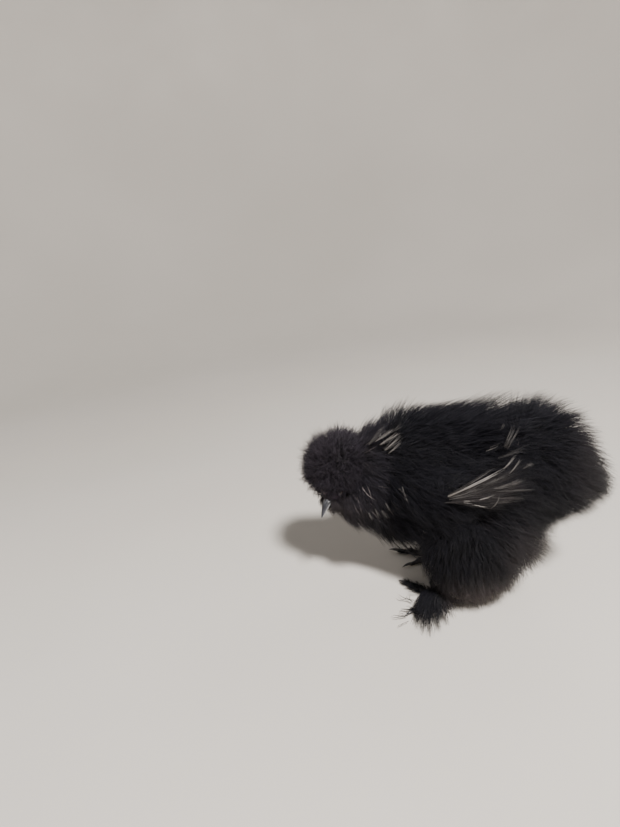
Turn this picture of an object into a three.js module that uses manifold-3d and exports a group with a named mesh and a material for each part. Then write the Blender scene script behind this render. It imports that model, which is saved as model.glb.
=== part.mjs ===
// A life-size silkie chicken that stands with its head lowered and turned to its left.
// Millimetres. +X runs towards the tail, +Y towards the bird's right side, +Z up from the floor.
// Each feathered sub-part is a core with flat, tapered locks or vanes rooted in it. The tips of
// the locks reach the outer forms listed below, which are the outline of the plumage.
import * as THREE from "three";
import { mergeVertices } from "three/addons/utils/BufferGeometryUtils.js";
import Module from "manifold-3d";

const wasm = await Module();
wasm.setup();

// Gap between neighbours, how sharply ellipsoids melt together, how far lock tips rise over the
// outer form and the share by which some of them stop short of it
const gap = 0.3;
const blend = 9;
const tipRise = 2.5;
const tipShort = 0.08;
// A lock leaves its root steeply and then lies down: heights as shares of the coat's depth, and
// the bend's place as a share of the reach
const aimHeight = 0.8;
const bendHeight = 0.62;
const bendPlace = 0.38;
// A lock that its neighbours cut down to less than this share is left out
const leastKept = 0.45;
const rowJitter = 0.14;
const reachJitter = 0.22;
const widthJitter = 0.18;
const farthest = 150;
const coreDetail = 3;

// Plumage forms: ellipsoids that melt into one another. The outer forms are the tips of the
// coat. The inner forms are the core: the flesh, which sits well forward, and dense down.
const torsoForms = {
  centre: [-4, 0, 118],
  outer: [
    { at: [2, 0, 124], size: [84, 70, 72] },
    { at: [-52, 0, 110], size: [52, 53, 54] },
    { at: [56, 0, 112], size: [42, 50, 48] },
    { at: [-56, -4, 150], size: [42, 46, 50] },
    { at: [36, 0, 152], size: [46, 48, 50] },
    { at: [-68, -8, 80], size: [36, 38, 35] },
  ],
  inner: [
    { at: [-23, 0, 121], size: [58, 54, 56] },
    { at: [-57, 0, 109], size: [44, 45, 45] },
    { at: [31, 0, 124], size: [27, 32, 34] },
  ],
};
const tailForms = {
  centre: [74, -2, 142],
  outer: [
    { at: [84, -2, 146], size: [51, 53, 55] },
    { at: [96, -2, 120], size: [38, 42, 38] },
  ],
  inner: [
    { at: [70, -2, 146], size: [25, 25, 27] },
    { at: [78, -2, 130], size: [18, 20, 18] },
  ],
};
const neckForms = {
  centre: [-98, -16, 119],
  outer: [
    { at: [-92, -12, 122], size: [42, 43, 44] },
    { at: [-110, -24, 112], size: [30, 32, 30] },
    { at: [-98, -28, 98], size: [28, 30, 30] },
    { at: [-94, -16, 148], size: [34, 38, 36] },
  ],
  inner: [
    { at: [-92, -12, 122], size: [31, 32, 31] },
    { at: [-110, -24, 112], size: [19, 21, 19] },
  ],
};
const thighForms = {
  centre: [16, 36, 66],
  outer: [
    { at: [12, 37, 62], size: [52, 45, 54] },
    { at: [42, 31, 74], size: [42, 38, 45] },
    { at: [4, 45, 42], size: [40, 34, 34] },
  ],
  inner: [
    { at: [8, 37, 66], size: [34, 27, 37] },
    { at: [32, 31, 76], size: [21, 18, 22] },
  ],
};
const tailRoot = { point: [52, 0, 186], normal: [0.92, 0, 0.39] };

// Head: its own frame has x forward along the beak, y to its left, z up through the crown
const headYaw = 70;
const headPitch = 20;
const skullAt = [-127.5, -33.3, 120.1];
const skullOutline = [
  { at: [0, 0, 0], size: [18, 13.5, 14] },
  { at: [10, 0, -3], size: [12, 10, 10.5] },
  { at: [-12, 0, -5], size: [13, 12, 13] },
];
const skullForms = { centre: [0, 0, 0], outer: skullOutline, inner: skullOutline };
const crestForms = {
  centre: [-14, 0, 14],
  outer: [
    { at: [-12, 2, 17], size: [42, 41, 42] },
    { at: [-24, 3, 6], size: [30, 33, 32] },
  ],
  inner: [
    { at: [-12, 0, 16], size: [27, 28, 25] },
    { at: [-22, 0, 6], size: [17, 22, 18] },
  ],
};
const faceOpenings = [
  { at: [19, 0, -8], size: [26, 30, 17] },
  { at: [20, 0, 9], size: [17, 12, 10] },
  { at: [-3, 18, -6], size: [13, 11, 13] },
  { at: [-3, -18, -6], size: [13, 11, 13] },
];
const beakLength = 23;
const beakRoot = [14, 0, -4.5];
const beakDrop = 9;
const beakHalfWidth = 6.4;
const beakHeight = 6.2;
const mouthGap = 0.6;
const eyeAt = [9, 9.2, 0.5];
const eyeRadius = 4.9;
const lidRadius = 1.1;
const lobeAt = [-4, 13.2, -7];
const lobeSize = [4.2, 2.2, 5.6];
const wattleAt = [13, 4.2, -14];
const wattleSize = [4, 2.2, 5];
const combAt = [14, 0, 8.5];
const combSize = [7.5, 6.8, 4.2];

// Legs and feet: a foot's own frame has x along the middle toe, y to the outer side, z up
const hockAt = { left: [10, -38, 50], right: [-10, 36, 50] };
const footAt = { left: [-24, -49, 0], right: [-42, 33, 0] };
const footTurn = { left: 29, right: -7 };
const outerToeTurn = { left: 80, right: 46 };
const innerToeTurn = { left: -38, right: -50 };
const hindToeTurn = { left: 206, right: 174 };
const fifthToeTurn = { left: 236, right: 206 };
const ankleHeight = 9;
const shankRadius = 5;
const clawLength = 11;
const clawRadius = 1.8;
const toes = [
  { name: "middle", length: 42, radius: 4, lift: 0 },
  { name: "inner", length: 30, radius: 3.7, lift: 0 },
  { name: "outer", length: 32, radius: 3.8, lift: 0 },
  { name: "hind", length: 24, radius: 3.5, lift: 0 },
  { name: "fifth", length: 17, radius: 3.1, lift: 9 },
];

const wingAt = [14, 63, 134];
const wingSlope = 16;
const wingHand = [{ at: [-8, 0, -1], size: [37, 6.5, 19] }];
const wingForms = { centre: [0, 0, 0], outer: wingHand, inner: wingHand };
const shoulder = { at: [-28, -11, -2], size: [15, 13, 14] };
const flightVane = { length: 74, width: 12, thick: 1.8 };
const covertVane = { length: 32, width: 14, thick: 1.8 };
// The vanes' tips fold in by this much, and the rising vanes lean in by this share of their rise
const wingFold = 15;
const wingLean = 0.25;
const toeVanes = {
  left: [
    { toe: "outer", share: 0.3, fan: 70, length: 30, width: 10 },
    { toe: "outer", share: 0.55, fan: 56, length: 42, width: 12 },
    { toe: "outer", share: 0.78, fan: 44, length: 44, width: 12 },
    { toe: "outer", share: 0.92, fan: 24, length: 30, width: 11 },
    { toe: "middle", share: 0.6, fan: 40, length: 16, width: 8 },
  ],
  right: [
    { toe: "outer", share: 0.35, fan: 48, length: 22, width: 10 },
    { toe: "outer", share: 0.6, fan: 32, length: 25, width: 10 },
    { toe: "outer", share: 0.85, fan: 12, length: 24, width: 10 },
    { toe: "middle", share: 0.6, fan: 40, length: 15, width: 8 },
  ],
};
const shankVanes = [
  { share: 0.22, turn: -18, length: 18, width: 9 },
  { share: 0.36, turn: 26, length: 19, width: 9 },
];
const smallVaneThick = 1.8;

const colours = {
  plumage: 0x1d1b20,
  flight: 0x3a3436,
  skin: 0x1b1a1f,
  horn: 0x2b2a2e,
  eye: 0x0b0908,
  lobe: 0x7fb4c8,
  comb: 0x241a22,
};

// A repeatable stream of numbers from 0 to 1
function randomStream(seed) {
  let state = seed >>> 0;
  return () => {
    state = (state + 0x6d2b79f5) >>> 0;
    let mixed = Math.imul(state ^ (state >>> 15), 1 | state);
    mixed = (mixed + Math.imul(mixed ^ (mixed >>> 7), 61 | mixed)) ^ mixed;
    return ((mixed ^ (mixed >>> 14)) >>> 0) / 4294967296;
  };
}

const radians = THREE.MathUtils.degToRad;
const vec = (p) => new THREE.Vector3(p[0], p[1], p[2]);
const flipped = (p, sign) => [p[0], p[1] * sign, p[2]];
const spread = (random, amount) => (random() * 2 - 1) * amount;

// Solids: three.js geometry in, manifold out, and back again for the finished mesh
function solidFrom(geometry, matrix) {
  const bare = new THREE.BufferGeometry();
  bare.setAttribute("position", geometry.getAttribute("position").clone());
  if (geometry.index) bare.setIndex(geometry.index.clone());
  if (matrix) bare.applyMatrix4(matrix);
  const merged = mergeVertices(bare, 1e-4);
  const triVerts = new Uint32Array(merged.index.array);
  const vertProperties = merged.attributes.position.array;
  const made = new wasm.Manifold(new wasm.Mesh({ numProp: 3, vertProperties, triVerts }));
  if (made.volume() > 0) return made;
  for (let i = 0; i < triVerts.length; i += 3) {
    const first = triVerts[i];
    triVerts[i] = triVerts[i + 1];
    triVerts[i + 1] = first;
  }
  return new wasm.Manifold(new wasm.Mesh({ numProp: 3, vertProperties, triVerts }));
}

const join = (solids) => solids.reduce((all, one) => all.add(one));
const cut = (solid, cutters) => cutters.reduce((left, one) => left.subtract(one), solid);
const largest = (solid) => solid.decompose().sort((a, b) => b.volume() - a.volume())[0];

function geometryFrom(solid) {
  const mesh = solid.getMesh();
  const points = new Float32Array(mesh.numVert * 3);
  for (let i = 0; i < mesh.numVert; i++) {
    points.set(mesh.vertProperties.subarray(i * mesh.numProp, i * mesh.numProp + 3), i * 3);
  }
  const geometry = new THREE.BufferGeometry();
  geometry.setAttribute("position", new THREE.BufferAttribute(points, 3));
  geometry.setIndex(new THREE.BufferAttribute(mesh.triVerts, 1));
  geometry.computeVertexNormals();
  return geometry;
}

// Melted ellipsoids: the sum is 1 on the surface and more inside
function fieldAt(forms, grow, p) {
  let sum = 0;
  for (const { at, size } of forms) {
    const x = (p.x - at[0]) / (size[0] + grow);
    const y = (p.y - at[1]) / (size[1] + grow);
    const z = (p.z - at[2]) / (size[2] + grow);
    sum += Math.exp(-blend * (Math.sqrt(x * x + y * y + z * z) - 1));
  }
  return sum;
}

// The outermost point of melted forms along a direction from the region's centre
function surfacePoint(region, forms, grow, direction) {
  const start = region.centre;
  const inside = (far) => fieldAt(forms, grow, start.clone().addScaledVector(direction, far)) > 1;
  let near = farthest;
  while (near > 1 && !inside(near)) near -= 2;
  let far = near + 2;
  for (let i = 0; i < 22; i++) {
    const middle = (near + far) / 2;
    if (inside(middle)) near = middle;
    else far = middle;
  }
  return start.clone().addScaledVector(direction, near);
}

function blobSolid(region, forms, grow, detail) {
  const geometry = new THREE.IcosahedronGeometry(1, detail);
  const position = geometry.getAttribute("position");
  const direction = new THREE.Vector3();
  for (let i = 0; i < position.count; i++) {
    direction.fromBufferAttribute(position, i).normalize();
    const p = surfacePoint(region, forms, grow, direction);
    position.setXYZ(i, p.x, p.y, p.z);
  }
  return solidFrom(geometry, region.matrix);
}

// A flat blade with a ridge above and below, tapering to a point along a bent path
function bladeGeometry({ points, up, width, thick, rings = [0, 0.64] }, grow = 0) {
  const fullness = rings.map((t) => 0.6 + 1.8 * t * (1 - 0.78 * t));
  const path = new THREE.QuadraticBezierCurve3(...points);
  const swell = 1 + (3 * grow) / thick;
  const positions = [];
  const push = (p) => positions.push(p.x, p.y, p.z);
  for (const [i, t] of rings.entries()) {
    const centre = path.getPoint(t);
    const along = path.getTangent(t);
    const side = new THREE.Vector3().crossVectors(along, up).normalize();
    const over = new THREE.Vector3().crossVectors(side, along).normalize();
    const halfWidth = (width / 2) * fullness[i] * swell;
    const halfThick = (thick / 2) * (1 - 0.45 * t) * swell;
    push(centre.clone().addScaledVector(side, -halfWidth));
    push(centre.clone().addScaledVector(over, halfThick));
    push(centre.clone().addScaledVector(side, halfWidth));
    push(centre.clone().addScaledVector(over, -halfThick));
  }
  push(path.getPoint(1).addScaledVector(path.getTangent(1), 3 * grow));
  const index = [0, 1, 2, 0, 2, 3];
  const last = rings.length - 1;
  for (let k = 0; k < last; k++) {
    for (let i = 0; i < 4; i++) {
      const a = k * 4 + i;
      const b = k * 4 + ((i + 1) % 4);
      if (i % 2 === 0) index.push(a, b + 4, b, a, a + 4, b + 4);
      else index.push(a, a + 4, b, b, a + 4, b + 4);
    }
  }
  for (let i = 0; i < 4; i++) index.push(last * 4 + i, last * 4 + 4, last * 4 + ((i + 1) % 4));
  const geometry = new THREE.BufferGeometry();
  geometry.setAttribute("position", new THREE.Float32BufferAttribute(positions, 3));
  geometry.setIndex(index);
  return geometry;
}

// A closed skin over rings that all have the same number of points
function loftGeometry(rings) {
  const count = rings[0].length;
  const last = rings.length - 1;
  const middle = (ring) => ring.reduce((sum, p) => sum.add(p), vec([0, 0, 0])).divideScalar(count);
  const points = [...rings.flat(), middle(rings[0]), middle(rings[last])];
  const index = [];
  const startCap = (last + 1) * count;
  for (let i = 0; i < count; i++) {
    const next = (i + 1) % count;
    for (let k = 0; k < last; k++) {
      const a = k * count + i;
      const b = k * count + next;
      index.push(a, b, b + count, a, b + count, a + count);
    }
    index.push(startCap, next, i, startCap + 1, last * count + i, last * count + next);
  }
  const geometry = new THREE.BufferGeometry().setFromPoints(points);
  geometry.setIndex(index);
  return geometry;
}

// A rounded tube with its own radius at each point, flat where it meets the floor
function tubeGeometry(points, radii, sides, grow = 0) {
  const path = new THREE.CatmullRomCurve3(points);
  const last = points.length - 1;
  const rings = points.map((point, k) => {
    const along = path.getTangent(k / last);
    const side = new THREE.Vector3(-along.y, along.x, 0);
    if (side.lengthSq() < 1e-3) side.set(0, 1, 0);
    side.normalize();
    const over = new THREE.Vector3().crossVectors(along, side).normalize();
    const end = k === 0 ? -grow : k === last ? grow : 0;
    return Array.from({ length: sides }, (_, i) => {
      const angle = (2 * Math.PI * (i + 0.5)) / sides - Math.PI / 2;
      const p = point.clone().addScaledVector(along, end);
      p.addScaledVector(side, Math.cos(angle) * (radii[k] + grow));
      p.addScaledVector(over, Math.sin(angle) * (radii[k] + grow));
      return p.setZ(Math.max(p.z, -grow));
    });
  });
  return loftGeometry(rings);
}

// An ellipsoid in the frame of its matrix, grown all round where it is a clearance
function ellipsoid({ at, size }, matrix, detail = 2, grow = 0) {
  const geometry = new THREE.IcosahedronGeometry(1, detail);
  geometry.scale(size[0] + grow, size[1] + grow, size[2] + grow);
  geometry.translate(at[0], at[1], at[2]);
  return solidFrom(geometry, matrix);
}

// The head's frame in the bird's frame
function makeHeadFrame() {
  const level = vec([-Math.cos(radians(headYaw)), -Math.sin(radians(headYaw)), 0]);
  const pitch = radians(headPitch);
  const forward = level.clone().multiplyScalar(Math.cos(pitch)).setZ(-Math.sin(pitch));
  const up = level.clone().multiplyScalar(Math.sin(pitch)).setZ(Math.cos(pitch));
  const left = new THREE.Vector3().crossVectors(up, forward);
  return new THREE.Matrix4().makeBasis(forward, left, up).setPosition(vec(skullAt));
}

// The way out of a region's core at a point on its surface
function surfaceNormal(region, p) {
  const step = 0.5;
  const slope = ["x", "y", "z"].map((axis) => {
    const ahead = p.clone();
    const behind = p.clone();
    ahead[axis] += step;
    behind[axis] -= step;
    return fieldAt(region.inner, 0, behind) - fieldAt(region.inner, 0, ahead);
  });
  return vec(slope).normalize();
}

const toWorld = (region, p) => (region.matrix ? p.clone().applyMatrix4(region.matrix) : p);

function insideCoat(region, worldPoint) {
  const p = worldPoint.clone();
  if (region.matrix) p.applyMatrix4(region.matrix.clone().invert());
  return fieldAt(region.outer, 0, p) > 1;
}

const boxesMeet = (a, b) => [0, 1, 2].every((i) => a.min[i] < b.max[i] && b.min[i] < a.max[i]);

// Locks in tiers round a pole from which the coat flows. Each lock's tip lies on the outer form.
function tierRoots(region, { pole, from, to, rowGap, spacing }, random) {
  const axis = vec(pole).normalize();
  const east = new THREE.Vector3(-axis.z, 0, axis.x);
  if (east.lengthSq() < 0.01) east.set(1, 0, 0);
  east.normalize();
  const north = new THREE.Vector3().crossVectors(axis, east);
  const around = (angle) => {
    return east.clone().multiplyScalar(Math.cos(angle)).addScaledVector(north, Math.sin(angle));
  };
  const roots = [];
  let polar = radians(from);
  for (let row = 0; polar < radians(to); row++) {
    const out = [0, 90, 180, 270].map((a) => {
      const way = around(radians(a)).multiplyScalar(Math.sin(polar)).addScaledVector(axis, Math.cos(polar));
      return surfacePoint(region, region.inner, 0, way).distanceTo(region.centre);
    });
    const radius = out.reduce((sum, r) => sum + r, 0) / 4;
    const count = Math.max(3, Math.round((2 * Math.PI * radius * Math.sin(polar)) / spacing));
    for (let i = 0; i < count; i++) {
      const angle = (2 * Math.PI * (i + 0.5 * (row % 2) + spread(random, rowJitter))) / count;
      const tilt = polar + spread(random, 0.12 * (rowGap / radius));
      const ring = around(angle);
      const way = ring.clone().multiplyScalar(Math.sin(tilt)).addScaledVector(axis, Math.cos(tilt));
      const lie = ring.multiplyScalar(Math.cos(tilt)).addScaledVector(axis, -Math.sin(tilt));
      roots.push({ way, lie, share: (polar - radians(from)) / radians(to - from) });
    }
    polar += rowGap / radius;
  }
  return roots;
}

function coatLock(region, spec, { way, lie, share }, random) {
  const rootPoint = surfacePoint(region, region.inner, 0, way);
  const normal = surfaceNormal(region, rootPoint);
  const along = lie.clone().add(vec(spec.droop));
  along.addScaledVector(normal, -along.dot(normal)).normalize();
  const side = new THREE.Vector3().crossVectors(normal, along);
  along.addScaledVector(side, spread(random, spec.stray)).normalize();
  const reach = THREE.MathUtils.lerp(...spec.reach, share) * (1 + spread(random, reachJitter));
  const aim = rootPoint.clone().addScaledVector(along, reach);
  aim.addScaledVector(normal, spec.depth * aimHeight);
  const tipWay = aim.sub(region.centre).normalize();
  const tip = surfacePoint(region, region.outer, tipRise, tipWay);
  tip.lerp(rootPoint, random() * tipShort);
  const start = rootPoint.clone().addScaledVector(normal, -spec.sink).addScaledVector(along, -spec.sink);
  const bend = rootPoint.clone().addScaledVector(normal, spec.depth * bendHeight);
  bend.addScaledVector(along, reach * bendPlace);
  const width = spec.width * (1 + spread(random, widthJitter));
  const { thick } = spec;
  const up = normal.applyAxisAngle(along, radians(spread(random, spec.roll)));
  return { rootPoint, blade: { points: [start, bend, tip], up, width, thick } };
}

// A region's core with its locks, each kept clear of its neighbours and dropped where it is
// buried in them
function feathered(region, spec, { cores, coats, buriedIn }) {
  const random = randomStream(spec.seed);
  const cutters = [...cores, ...coats].map((solid) => ({ solid, box: solid.boundingBox() }));
  let solid = cut(region.core, cores);
  for (const root of tierRoots(region, spec, random)) {
    const { rootPoint, blade } = coatLock(region, spec, root, random);
    const place = toWorld(region, rootPoint);
    if (buriedIn.some((other) => insideCoat(other, place))) continue;
    const whole = solidFrom(bladeGeometry(blade), region.matrix);
    const box = whole.boundingBox();
    const near = cutters.filter((cutter) => boxesMeet(box, cutter.box)).map((cutter) => cutter.solid);
    const pieces = cut(whole, near).decompose();
    const rooted = pieces.map((piece) => ({ piece, hold: piece.intersect(solid).volume() }));
    const best = rooted.sort((a, b) => b.hold - a.hold)[0];
    if (!best || best.hold < 1 || best.piece.volume() < leastKept * whole.volume()) continue;
    solid = solid.add(best.piece);
  }
  return largest(solid);
}

// A region of plumage: its core, the core grown by the gap, and the space that its coat fills
function makeRegion({ centre, outer, inner }, detail, matrix) {
  const region = { outer, inner, centre: vec(centre), matrix };
  region.core = blobSolid(region, inner, 0, detail);
  region.coreClearance = blobSolid(region, inner, gap, detail);
  region.coatClearance = blobSolid(region, outer, tipRise + 4 * gap, coreDetail);
  return region;
}

const mirrorForm = ({ at, size }) => ({ at: flipped(at, -1), size });
const mirrorForms = ({ centre, outer, inner }) => ({
  centre: flipped(centre, -1),
  outer: outer.map(mirrorForm),
  inner: inner.map(mirrorForm),
});

const headFrame = makeHeadFrame();
const outward = { left: -1, right: 1 };
const sideNames = Object.keys(outward);

const torso = makeRegion(torsoForms, coreDetail);
const tail = makeRegion(tailForms, coreDetail);
const neck = makeRegion(neckForms, coreDetail);
const crest = makeRegion(crestForms, coreDetail, headFrame);
const skull = makeRegion(skullForms, coreDetail, headFrame);
const thighs = {};
const wings = {};
for (const side of sideNames) {
  thighs[side] = makeRegion(side === "left" ? mirrorForms(thighForms) : thighForms, coreDetail);
  const slope = new THREE.Matrix4().makeRotationY(radians(-wingSlope));
  slope.setPosition(vec(flipped(wingAt, outward[side])));
  wings[side] = makeRegion(wingForms, 2, slope);
}
const faceClearance = join(faceOpenings.map((opening) => ellipsoid(opening, headFrame, 2)));

const root = new THREE.Group();

function addNode(name, solid, colour, roughness = 0.9) {
  const material = new THREE.MeshStandardMaterial({ color: colour, roughness, metalness: 0 });
  const mesh = new THREE.Mesh(geometryFrom(largest(solid)), material);
  mesh.name = name;
  root.add(mesh);
}

// Leg: hock to ankle, and five toes with their claws
function footMatrix(side) {
  const turn = radians(footTurn[side]) * -outward[side];
  const ahead = vec([-Math.cos(turn), Math.sin(turn), 0]);
  const out = vec([Math.sin(turn), Math.cos(turn), 0]).multiplyScalar(outward[side]);
  const frame = new THREE.Matrix4().makeBasis(ahead, out, vec([0, 0, 1]));
  return frame.setPosition(vec(footAt[side]));
}

const toeTurns = {
  middle: { left: 0, right: 0 },
  inner: innerToeTurn,
  outer: outerToeTurn,
  hind: hindToeTurn,
  fifth: fifthToeTurn,
};
const toeTurn = (toe, side) => radians(toeTurns[toe.name][side]);
const toeSwell = (share) => 1 - 0.45 * share * share + 0.07 * Math.sin(share * 14);

// The toe's axis is low enough for its pads to lie flat on the floor
function toePoint(toe, side, share) {
  const reach = toe.length * share + 2;
  const rise = toe.radius * toeSwell(share) * 0.8 + toe.lift * Math.min(1, share * 2);
  const turn = toeTurn(toe, side);
  return vec([Math.cos(turn) * reach, Math.sin(turn) * reach, rise]);
}

function toeSolid(toe, side) {
  const shares = [0, 0.36, 0.74, 1];
  const points = shares.map((share) => toePoint(toe, side, share));
  const radii = shares.map((share) => toe.radius * toeSwell(share));
  return solidFrom(tubeGeometry(points, radii, 6), footMatrix(side));
}

function clawSolid(toe, side, grow) {
  const turn = toeTurn(toe, side);
  const ahead = vec([Math.cos(turn), Math.sin(turn), 0]);
  const start = toePoint(toe, side, 1).addScaledVector(ahead, gap);
  const points = [0, 0.35, 0.7, 1].map((share) => {
    const p = start.clone().addScaledVector(ahead, clawLength * share);
    return p.setZ(p.z + 1.2 + 1.5 * share - 2.9 * share * share);
  });
  const radii = [1, 0.82, 0.5, 0.16].map((taper) => clawRadius * taper);
  return solidFrom(tubeGeometry(points, radii, 5, grow), footMatrix(side));
}

function shankSolid(side, grow) {
  const ankle = vec(footAt[side]).setZ(ankleHeight);
  const hock = vec(hockAt[side]);
  const shares = [0, 0.2, 0.55, 0.85, 1];
  const swell = [1.05, 0.92, 0.86, 1.05, 1.3];
  const points = shares.map((share) => ankle.clone().lerp(hock, share));
  return solidFrom(tubeGeometry(points, swell.map((s) => s * shankRadius), 7, grow));
}

// Feathers of the outer and middle toes, which droop towards the floor
function toeVaneSolid({ toe, share, fan, length, width }, side) {
  const bone = toes.find((one) => one.name === toe);
  const turn = toeTurn(bone, side) + radians(fan);
  const way = vec([Math.cos(turn), Math.sin(turn), 0]);
  const start = toePoint(bone, side, share).addScaledVector(way, -1);
  const tip = start.clone().addScaledVector(way, length).setZ(1.4);
  const bend = start.clone().lerp(tip, 0.5).setZ(start.z + 3.5);
  const blade = { points: [start, bend, tip], up: vec([0, 0, 1]), width, thick: smallVaneThick };
  return solidFrom(bladeGeometry(blade), footMatrix(side));
}

// Feathers down the outer side of the shank
function shankVaneSolid({ share, turn, length, width }, side) {
  const ankle = vec(footAt[side]).setZ(ankleHeight);
  const start = ankle.lerp(vec(hockAt[side]), share);
  const out = vec([-Math.sin(radians(turn)), Math.cos(radians(turn)) * outward[side], 0]);
  const tip = start.clone().addScaledVector(out, length);
  tip.z -= 5;
  const bend = start.clone().lerp(tip, 0.5);
  bend.z += 3;
  const blade = { points: [start, bend, tip], up: vec([0, 0, 1]), width, thick: smallVaneThick };
  return solidFrom(bladeGeometry(blade));
}

// The thigh's fluff stays clear of the foot
function ankleSpace(side) {
  return ellipsoid({ at: [4, -2, 6], size: [44, 38, 24] }, footMatrix(side), 3);
}

for (const side of sideNames) {
  const palm = ellipsoid({ at: [1, 0, 6], size: [8, 7, 5.6] }, footMatrix(side), 1);
  const bones = toes.map((toe) => toeSolid(toe, side));
  const claws = toes.map((toe) => clawSolid(toe, side, gap));
  const plumes = toeVanes[side].map((vane) => cut(toeVaneSolid(vane, side), claws));
  const foot = join([palm, ...bones, ...plumes]);
  addNode("foot_" + side, cut(foot, [shankSolid(side, gap)]), colours.skin, 0.7);
  for (const toe of toes) {
    addNode("claw_" + side + "_" + toe.name, clawSolid(toe, side, 0), colours.horn, 0.5);
  }
  const vanes = shankVanes.map((vane) => shankVaneSolid(vane, side));
  const shank = join([shankSolid(side, 0), ...vanes]);
  addNode("shank_" + side, cut(shank, [torso.coreClearance]), colours.skin, 0.7);
}

// Head: beak in two halves with the line of the mouth between them, eyes in lids, comb,
// ear lobes and wattles
function beakSolid(sign, grow) {
  const length = beakLength * (sign > 0 ? 1 : 0.88);
  const height = sign > 0 ? beakHeight : beakHeight * 0.55;
  const rings = [0, 0.22, 0.45, 0.68, 0.87, 1].map((share) => {
    const taper = Math.pow(1 - share, 0.72);
    const drop = beakDrop * Math.pow(share * (length / beakLength), 1.7);
    const halfWidth = (beakHalfWidth - (sign < 0 ? 0.8 : 0)) * taper + 0.35 + grow;
    return Array.from({ length: 9 }, (_, i) => {
      const angle = (Math.PI * i) / 8;
      const rise = Math.sin(angle) * (height * taper + 0.5 + grow) + mouthGap / 2;
      const x = beakRoot[0] + length * share;
      return vec([x, Math.cos(angle) * halfWidth, beakRoot[2] - drop + sign * (rise - grow)]);
    });
  });
  return solidFrom(loftGeometry(rings), headFrame);
}

function lidSolid(sign, grow) {
  const ring = new THREE.TorusGeometry(eyeRadius - 0.2, lidRadius + grow, 4, 12);
  ring.scale(1.12, 0.86, 1.1);
  ring.rotateX(Math.PI / 2);
  ring.rotateZ(radians(-12 * sign));
  ring.translate(eyeAt[0], (eyeAt[1] + 2.6) * sign, eyeAt[2]);
  return solidFrom(ring, headFrame);
}

function eyeSolid(sign, grow) {
  const size = [eyeRadius, eyeRadius, eyeRadius];
  return ellipsoid({ at: flipped(eyeAt, sign), size }, headFrame, 2, grow);
}

const combBulbs = [
  [0, 0, 0, 1],
  [-0.75, 0.1, 0.1, 0.72],
  [0.7, 0.05, -0.25, 0.62],
  [0.1, 0.7, -0.1, 0.66],
  [0.05, -0.72, -0.1, 0.68],
  [-0.55, 0.62, -0.05, 0.5],
  [-0.6, -0.6, -0.05, 0.52],
];

function combSolid() {
  const bulbs = combBulbs.map(([x, y, z, share]) => {
    const at = [combAt[0] + x * combSize[0], combAt[1] + y * combSize[1], combAt[2] + z * combSize[2]];
    const size = [combSize[0] * 0.62 * share, combSize[1] * 0.6 * share, combSize[2] * share];
    return ellipsoid({ at, size }, headFrame, 1);
  });
  return join(bulbs);
}

const nostrils = [1, -1].map((sign) => {
  const at = [beakRoot[0] + 7.5, 5 * sign, beakRoot[2] + 2.6];
  return ellipsoid({ at, size: [2.1, 1.5, 0.8] }, headFrame, 2);
});

const lids = [1, -1].map((sign) => lidSolid(sign, 0));
const lidClearances = [1, -1].map((sign) => lidSolid(sign, gap));
const eyeClearances = [1, -1].map((sign) => eyeSolid(sign, gap));
const head = cut(join([skull.core, ...lids]), eyeClearances);
const headClearance = join([skull.coreClearance, ...lidClearances]);
addNode("head", head, colours.skin, 0.6);
addNode("comb", cut(combSolid(), [headClearance, beakSolid(1, gap)]), colours.comb, 0.7);
addNode("beak_upper", cut(beakSolid(1, 0), [headClearance, ...nostrils]), colours.horn, 0.45);
addNode("beak_lower", cut(beakSolid(-1, 0), [headClearance]), colours.horn, 0.45);
const headSides = { left: 1, right: -1 };
for (const [side, sign] of Object.entries(headSides)) {
  addNode("eye_" + side, eyeSolid(sign, 0), colours.eye, 0.15);
  const lobe = ellipsoid({ at: flipped(lobeAt, sign), size: lobeSize }, headFrame, 1);
  addNode("lobe_" + side, cut(lobe, [headClearance]), colours.lobe, 0.6);
  const wattle = ellipsoid({ at: flipped(wattleAt, sign), size: wattleSize }, headFrame, 1);
  const wattleCutters = [headClearance, beakSolid(-1, gap)];
  addNode("wattle_" + side, cut(wattle, wattleCutters), colours.comb, 0.6);
}

// Plumage: how the coat lies on each region
const torsoCoat = {
  seed: 11, pole: [-1, 0, 0.2], from: 18, to: 158, rowGap: 31, spacing: 34, roll: 14,
  droop: [0.1, 0, -0.2], stray: 0.16, reach: [42, 50], depth: 18, sink: 5, width: 36, thick: 6,
};
const tailCoat = {
  seed: 23, pole: [-0.8, 0, 0.6], from: 26, to: 160, rowGap: 12.5, spacing: 15.5, roll: 55,
  droop: [0.3, 0, 0], stray: 0.2, reach: [13, 30], depth: 25, sink: 4, width: 24, thick: 5,
};
const neckCoat = {
  seed: 37, pole: [-0.75, -0.5, 0.55], from: 20, to: 128, rowGap: 15, spacing: 19, roll: 12,
  droop: [0.2, 0, -0.35], stray: 0.2, reach: [28, 34], depth: 14, sink: 4, width: 26, thick: 4.4,
};
const crestCoat = {
  seed: 41, pole: [0.5, 0, 0.9], from: 8, to: 140, rowGap: 17.5, spacing: 20, roll: 35,
  droop: [-0.1, 0, -0.25], stray: 0.22, reach: [14, 22], depth: 15, sink: 4, width: 22, thick: 4.6,
};
const thighCoat = {
  seed: 53, pole: [0, 0, 1], from: 50, to: 168, rowGap: 22, spacing: 28, roll: 16,
  droop: [0.3, 0, -0.1], stray: 0.18, reach: [24, 28], depth: 19, sink: 4, width: 31, thick: 5,
};

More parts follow.
